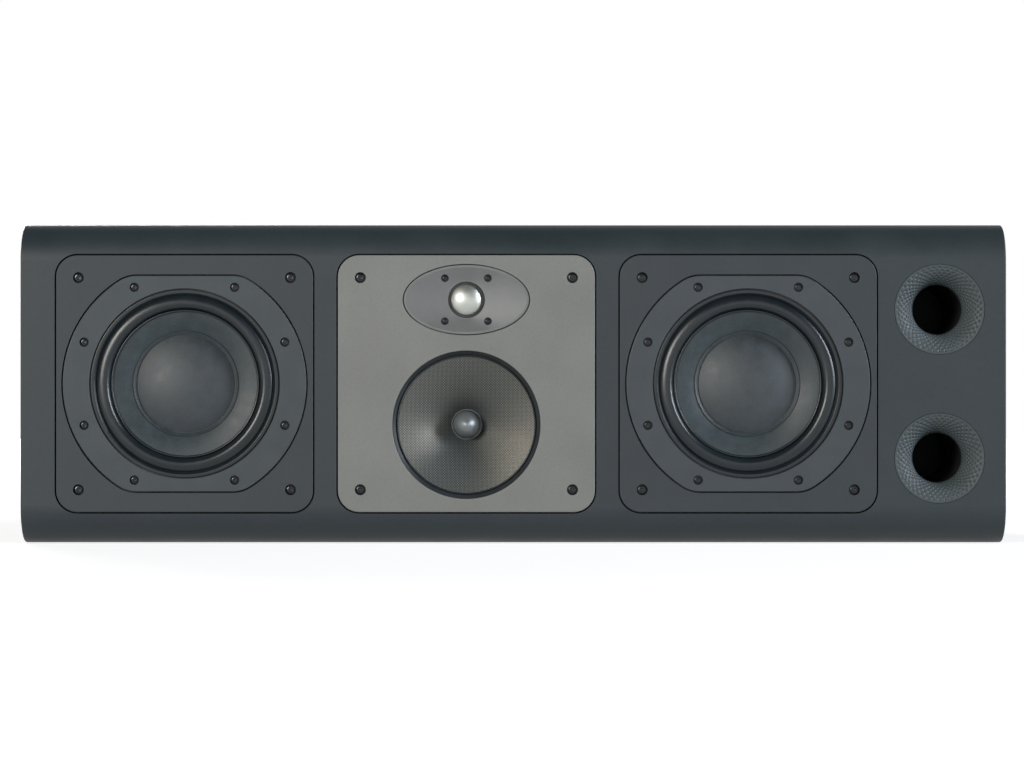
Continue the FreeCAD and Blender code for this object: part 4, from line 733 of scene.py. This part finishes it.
def makePort(node, axis, tree):
    size = portShape
    lip = Vector((size["lip"], 0))
    throat = Vector((size["throat"], size["throatDepth"]))
    chord = throat - lip
    # towards the outside of the tube, so the flare bulges in
    away = Vector((chord.y, -chord.x)).normalized()
    middle = (lip + throat) / 2 + away * math.sqrt(size["flareCurve"] ** 2 - chord.length_squared / 4)
    start = math.degrees(math.atan2(lip.y - middle.y, lip.x - middle.x))
    end = math.degrees(math.atan2(throat.y - middle.y, throat.x - middle.x))
    turn = (end - start + 180) % 360 - 180

    def flarePoint(share):
        angle = math.radians(start + turn * share)
        return (middle.x + size["flareCurve"] * math.cos(angle),
                middle.y + size["flareCurve"] * math.sin(angle))

    flare = [flarePoint(step / size["flareSteps"]) for step in range(size["flareSteps"] + 1)]
    throatEnd = size["throatDepth"] + size["throatLand"]
    spread = size["tailRadius"] - size["bore"]
    bell = []
    tailCurve = (spread ** 2 + size["tail"] ** 2) / (2 * spread)
    for step in range(1, size["tailSteps"] + 1):
        depth = size["tail"] * step / size["tailSteps"]
        radius = size["bore"] + tailCurve - math.sqrt(tailCurve ** 2 - depth ** 2)
        bell.append((radius, size["length"] + depth))
    outer = size["bore"] + size["wall"]
    tailRim = size["tailRadius"] + size["tailLip"]
    tailEnd = size["length"] + size["tail"]
    rebate = size["lip"] - size["rebate"]
    rest = [(size["throat"], throatEnd), (size["bore"], throatEnd), (size["bore"], size["length"])] + bell
    rest += [(tailRim, tailEnd), (tailRim, tailEnd - size["tailLip"]),
             (outer, size["length"] - size["tailNeck"]), (outer, throatEnd + size["shoulder"]),
             (rebate, size["lipThick"] + size["rebateDeep"]), (rebate, size["lipThick"]),
             (size["lip"], size["lipThick"])]
    worker = turnedPiece(node + "_smooth", flare + rest, axis, portPlastic, steps=size["steps"])

    spots = []
    rings = size["dimpleRings"]
    for ring in range(rings):
        share = size["dimpleFirst"] + (size["dimpleLast"] - size["dimpleFirst"]) * ring / (rings - 1)
        radius, depth = flarePoint(share)
        # every second ring is turned by half a step
        for step in range(size["dimplesPerRing"]):
            angle = 2 * math.pi * (step + 0.5 * (ring % 2)) / size["dimplesPerRing"]
            spots.append((axis[0] + radius * mm * math.cos(angle), frontY + depth * mm,
                          axis[1] + radius * mm * math.sin(angle)))
    centres = addPoints(node + "_centres", spots)
    piece = runTree(node + "_dimpled", worker, tree, {
        "Dimple centres": centres, "Dimple radius": size["dimpleRadius"] * mm,
        "Dimple depth": size["dimpleDepth"] * mm, "Finish": portPlastic, "Tube lining and shade": absAndBoreShade,
        "Tube start": frontY + size["throatDepth"] * mm})
    dropObject(centres)
    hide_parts(node)
    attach(piece, "cabinet")


dimples = dimpleTree()
for port, axis in portAxes.items():
    makePort(port, axis, dimples)
print("ports made")


# socket screws, one set for each size, and what their heads have in common
screwSets = {
    "plate_screws": {"head": 4.25, "headHigh": 4.6, "collarAndShade": 5.45,
                     "shank": 2.5, "length": 24.0, "socket": 2.15},
    "unit_screws": {"head": 3.5, "headHigh": 3.2, "collarAndShade": 4.65,
                    "shank": 2.0, "length": 9.4, "socket": 1.8},
    "tweeter_screws": {"head": 2.7, "headHigh": 2.0, "collarAndShade": 3.75,
                       "shank": 1.5, "length": 8.0, "socket": 1.4},
}
screwShape = {
    "tipShare": 0.6, "tipLong": 1.2, "collarHigh": 0.3, "collarEdge": 0.4,
    "headEdge": ((0, 0.7), (0.2, 0.25), (0.6, 0)),  # how far in, and how far below the head's face
    "mouthWide": 0.18, "mouthDeep": 0.2, "socketFloor": 0.42, "socketPoint": 0.34,
    "steps": 48, "sharpAngle": 35, "largestTurn": math.pi / 3, "seed": 7, "weld": 1e-6,
}


def screwTree():
    tree, given = startTree("screwSet", {
        "Screw": "Object", "Largest turn": "Float", "Seed": "Int", "Finish": "Material"})
    screw = addNode(tree, "GeometryNodeObjectInfo", {"Object": given["Screw"]}, transform_space="ORIGINAL")
    # each screw stops at its own angle; half a turn about Z faces a screw to the back
    turn = addNode(tree, "FunctionNodeRandomValue", {"Min": 0.0, "Max": given["Largest turn"],
                                                     "Seed": given["Seed"]}, data_type="FLOAT")
    facing = addNode(tree, "GeometryNodeInputNamedAttribute", {"Name": "facing"}, data_type="FLOAT")
    angles = addNode(tree, "ShaderNodeCombineXYZ", {"Y": turn.outputs["Value"],
                                                    "Z": facing.outputs["Attribute"]})
    turned = addNode(tree, "FunctionNodeEulerToRotation", {"Euler": angles.outputs["Vector"]})
    placed = addNode(tree, "GeometryNodeInstanceOnPoints",
                     {"Points": given["Geometry"], "Instance": screw.outputs["Geometry"],
                      "Rotation": turned.outputs["Rotation"]})
    real = addNode(tree, "GeometryNodeRealizeInstances", {"Geometry": placed.outputs["Instances"]})
    painted = addNode(tree, "GeometryNodeSetMaterial", {"Geometry": real.outputs["Geometry"],
                                                        "Material": given["Finish"]})
    addNode(tree, "NodeGroupOutput", {"Geometry": painted.outputs["Geometry"]})
    return tree


# one screw, its seat at the origin and its head towards -Y, with a thin collar and a six-sided socket. The
# collar's dark ring covers the counterbore floor: partly a flange of the screw, partly painted shade of the
# counterbore.
def oneScrew(name, size):
    shape = screwShape
    steps = shape["steps"]
    head, high, shank = size["head"], size["headHigh"], size["shank"]
    side = size["socket"] * math.cos(math.pi / 6)
    profile = [(0, size["length"]), (shank * shape["tipShare"], size["length"]),
               (shank, size["length"] - shape["tipLong"]), (shank, 0), (size["collarAndShade"], 0),
               (size["collarAndShade"], -shape["collarHigh"]), (head, -shape["collarEdge"])]
    profile += [(head - inward, below - high) for inward, below in shape["headEdge"]]
    build = bmesh.new()
    rings = [addRing(build, (0, 0), radius, y * mm, steps) for radius, y in profile]
    mouth = [(shape["mouthWide"], -high), (0, -high + shape["mouthDeep"]), (0, -high * shape["socketFloor"])]
    for grow, y in mouth:
        ring = []
        for step in range(steps):
            angle = 2 * math.pi * step / steps
            fold = (angle + math.pi / 6) % (math.pi / 3) - math.pi / 6
            radius = (side + grow) / math.cos(fold)
            ring.append(build.verts.new((radius * mm * math.cos(angle), y * mm,
                                         radius * mm * math.sin(angle))))
        rings.append(ring)
    rings.append(addRing(build, (0, 0), 0, -high * shape["socketPoint"] * mm, steps))
    joinRings(build, zip(rings, rings[1:]), steps)
    return finishMesh(name, build, blackOxide, shape["sharpAngle"])


# seats are read from the CAD screws: the middle of each loose part's box, head end towards the outside
def screwSpots(node, size):
    build = bmesh.new()
    build.from_mesh(nodes[node].data)
    bmesh.ops.remove_doubles(build, verts=build.verts, dist=screwShape["weld"])
    spots = []
    unseen = set(build.verts)
    while unseen:
        waiting = [unseen.pop()]
        group = list(waiting)
        while waiting:
            vert = waiting.pop()
            for link in vert.link_edges:
                other = link.other_vert(vert)
                if other in unseen:
                    unseen.remove(other)
                    waiting.append(other)
                    group.append(other)
        low = Vector([min(vert.co[axis] for vert in group) for axis in range(3)])
        high = Vector([max(vert.co[axis] for vert in group) for axis in range(3)])
        middle = (low + high) / 2
        facesBack = middle.y > 0
        seatY = high.y - size["headHigh"] * mm if facesBack else low.y + size["headHigh"] * mm
        spots.append(((middle.x, seatY, middle.z), math.pi if facesBack else 0.0))
    build.free()
    return sorted(spots)


screwNodes = screwTree()
for node, size in screwSets.items():
    sample = oneScrew(node + "_sample", size)
    spots = screwSpots(node, size)
    worker = addPoints(node + "_seats", [spot for spot, turn in spots])
    facing = worker.data.attributes.new("facing", "FLOAT", "POINT")
    facing.data.foreach_set("value", [turn for spot, turn in spots])
    piece = runTree(node + "_socketHeads", worker, screwNodes, {
        "Screw": sample, "Largest turn": screwShape["largestTurn"], "Seed": screwShape["seed"],
        "Finish": blackOxide})
    dropObject(sample)
    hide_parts(node)
    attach(piece, "cabinet")
    print(node, len(spots), "screws")


# finishes of the CAD nodes that keep their shape
finishes = {
    cabinetLacquer: ["front_baffle", "top_panel", "bottom_panel", "left_end_panel", "right_end_panel",
                     "rear_panel"],
    platePowder: ["bass_left_plate", "bass_right_plate"],
    castEnamel: ["bass_left_chassis", "bass_right_chassis"],
    rimEnamelAndShade: ["mid_chassis"],
    formerFoil: ["mid_voice_coil"],
    flakePaint: ["mid_panel"],
    satinAnodised: ["tweeter_faceplate"],
    turnedAlloy: ["tweeter_tube"],
    absAndBoreShade: ["terminal_tray"],
    redKnobPlastic: ["red_knob"],
    blackKnobPlastic: ["black_knob"],
    platedBrass: ["terminal_posts", "terminal_nuts", "red_washer", "black_washer"],
    rawBoard: ["window_braces", "mid_chamber"],
    zincSteel: ["bass_left_front_plate", "bass_right_front_plate", "bass_left_pole_plate",
                "bass_right_pole_plate", "mid_front_plate", "mid_pole_plate", "tweeter_motor"],
    sinteredFerrite: ["bass_left_magnet", "bass_right_magnet", "mid_magnet"],
    enamelledCopper: ["bass_left_voice_coil", "bass_right_voice_coil", "tweeter_voice_coil",
                      "crossover_coils"],
    phenolicCloth: ["bass_left_spider", "bass_right_spider", "mid_spider"],
    boardLacquer: ["crossover_board"],
    canSleeve: ["crossover_capacitors"],
    cableSheath: ["internal_leads"],
}
for material, names in finishes.items():
    for name in names:
        item = nodes[name]
        if not item.material_slots:
            item.data.materials.append(material)
        for place in item.material_slots:
            place.material = material
print("finishes given to", sum(len(names) for names in finishes.values()), "nodes")


# plain floor of pale paper under open air. The camera sees that air white on every side, and metal sees it
# white behind the object and dim elsewhere, so that the dark finishes keep their depth.
studio = {
    "halfWidth": 10.0, "front": -14.0, "back": 6.0, "paper": "#b8b8b8", "shade": "#5a5a5a",
    "nearGlow": 0.68, "farGlow": 1.0, "glowFrom": 0.7, "glowTo": 2.2,
    "world": "#ffffff", "worldLight": 0.05, "white": 1.0, "dim": 0.1, "whiteFrom": 0.6, "whiteTo": 0.85,
}


# what the camera, metal and glass see, as against what lights the object
def seenRays(tree):
    rays = addNode(tree, "ShaderNodeLightPath").outputs
    first = addNode(tree, "ShaderNodeMath", {0: rays["Is Camera Ray"], 1: rays["Is Glossy Ray"]},
                    operation="MAXIMUM")
    seen = addNode(tree, "ShaderNodeMath", {0: first.outputs[0], 1: rays["Is Transmission Ray"]},
                   operation="MAXIMUM")
    return seen.outputs[0]


def makeFloor():
    build = bmesh.new()
    ends = [(studio["front"], -1), (studio["front"], 1), (studio["back"], 1), (studio["back"], -1)]
    build.faces.new([build.verts.new((side * studio["halfWidth"], y, 0.0)) for y, side in ends])
    mesh = bpy.data.meshes.new("paperFloor")
    build.to_mesh(mesh)
    build.free()
    floor = addObject("paperFloor", mesh)

    material = bpy.data.materials.new("paperFloor")
    tree = emptyTree(material)
    paper = addNode(tree, "ShaderNodeBsdfDiffuse", {"Color": linear(studio["paper"])})
    shade = addNode(tree, "ShaderNodeBsdfDiffuse", {"Color": linear(studio["shade"])})
    # the paper's own white is held back near the object, so that its shadow stays
    place = addNode(tree, "ShaderNodeTexCoord").outputs["Object"]
    reach = addNode(tree, "ShaderNodeVectorMath", {0: place}, operation="LENGTH")
    level = addNode(tree, "ShaderNodeMapRange",
                    {"Value": reach.outputs["Value"], "From Min": studio["glowFrom"],
                     "From Max": studio["glowTo"], "To Min": studio["nearGlow"],
                     "To Max": studio["farGlow"]})
    glow = addNode(tree, "ShaderNodeEmission", {"Color": linear(studio["world"]),
                                                "Strength": level.outputs["Result"]})
    shown = addNode(tree, "ShaderNodeAddShader", {0: paper.outputs[0], 1: glow.outputs[0]})
    mixed = addNode(tree, "ShaderNodeMixShader", {0: seenRays(tree), 1: shade.outputs[0],
                                                  2: shown.outputs[0]})
    addNode(tree, "ShaderNodeOutputMaterial", {"Surface": mixed.outputs[0]})
    mesh.materials.append(material)


def makeAir():
    world = bpy.data.worlds.new("studioAir")
    bpy.context.scene.world = world
    tree = emptyTree(world)
    heading = addNode(tree, "ShaderNodeTexCoord").outputs["Generated"]
    way = addNode(tree, "ShaderNodeSeparateXYZ", {"Vector": heading})
    behind = addNode(tree, "ShaderNodeMapRange",
                     {"Value": way.outputs["Y"], "From Min": studio["whiteFrom"],
                      "From Max": studio["whiteTo"], "To Min": studio["dim"], "To Max": studio["white"]})
    mirrored = addNode(tree, "ShaderNodeMix", {"Factor": seenRays(tree), "A": studio["worldLight"],
                                               "B": behind.outputs["Result"]})
    looked = addNode(tree, "ShaderNodeLightPath").outputs["Is Camera Ray"]
    level = addNode(tree, "ShaderNodeMix", {"Factor": looked, "A": mirrored.outputs["Result"],
                                            "B": studio["white"]})
    air = addNode(tree, "ShaderNodeBackground", {"Color": linear(studio["world"]),
                                                 "Strength": level.outputs["Result"]})
    addNode(tree, "ShaderNodeOutputWorld", {"Surface": air.outputs[0]})


makeFloor()
makeAir()


# a warm soft box to the upper left, a cool one far out to the right that rakes the front, one for the back,
# and a dim screen behind the camera
lamps = {
    "leftBox": {"place": (-4.3, -6.5, 2.0), "size": (3.0, 2.6), "aim": (0, -0.15, 0.16), "watts": 500,
                "tint": "#fffbf5"},
    "rightBox": {"place": (4.1, -1.33, 1.4), "size": (1.0, 2.2), "aim": (0, -0.15, 0.16), "watts": 225,
                 "tint": "#eef5ff"},
    "backBox": {"place": (-2.2, 5.4, 1.3), "size": (2.4, 1.6), "aim": (0, 0.15, 0.16), "watts": 420,
                "tint": "#ffffff"},
    "frontScreen": {"place": (0.7, -4.0, 0.9), "size": (3.8, 1.6), "aim": (0, -0.15, 0.3), "watts": 24,
                    "tint": "#ffffff"},
}
for name, lamp in lamps.items():
    data = bpy.data.lights.new(name, "AREA")
    data.shape = "RECTANGLE"
    data.size, data.size_y = lamp["size"]
    data.energy = lamp["watts"]
    data.color = linear(lamp["tint"])[:3]
    light = addObject(name, data)
    light.location = lamp["place"]
    light.visible_camera = False
    aim = Vector(lamp["aim"]) - Vector(lamp["place"])
    light.rotation_euler = aim.to_track_quat("-Z", "Y").to_euler()
print("studio lit")
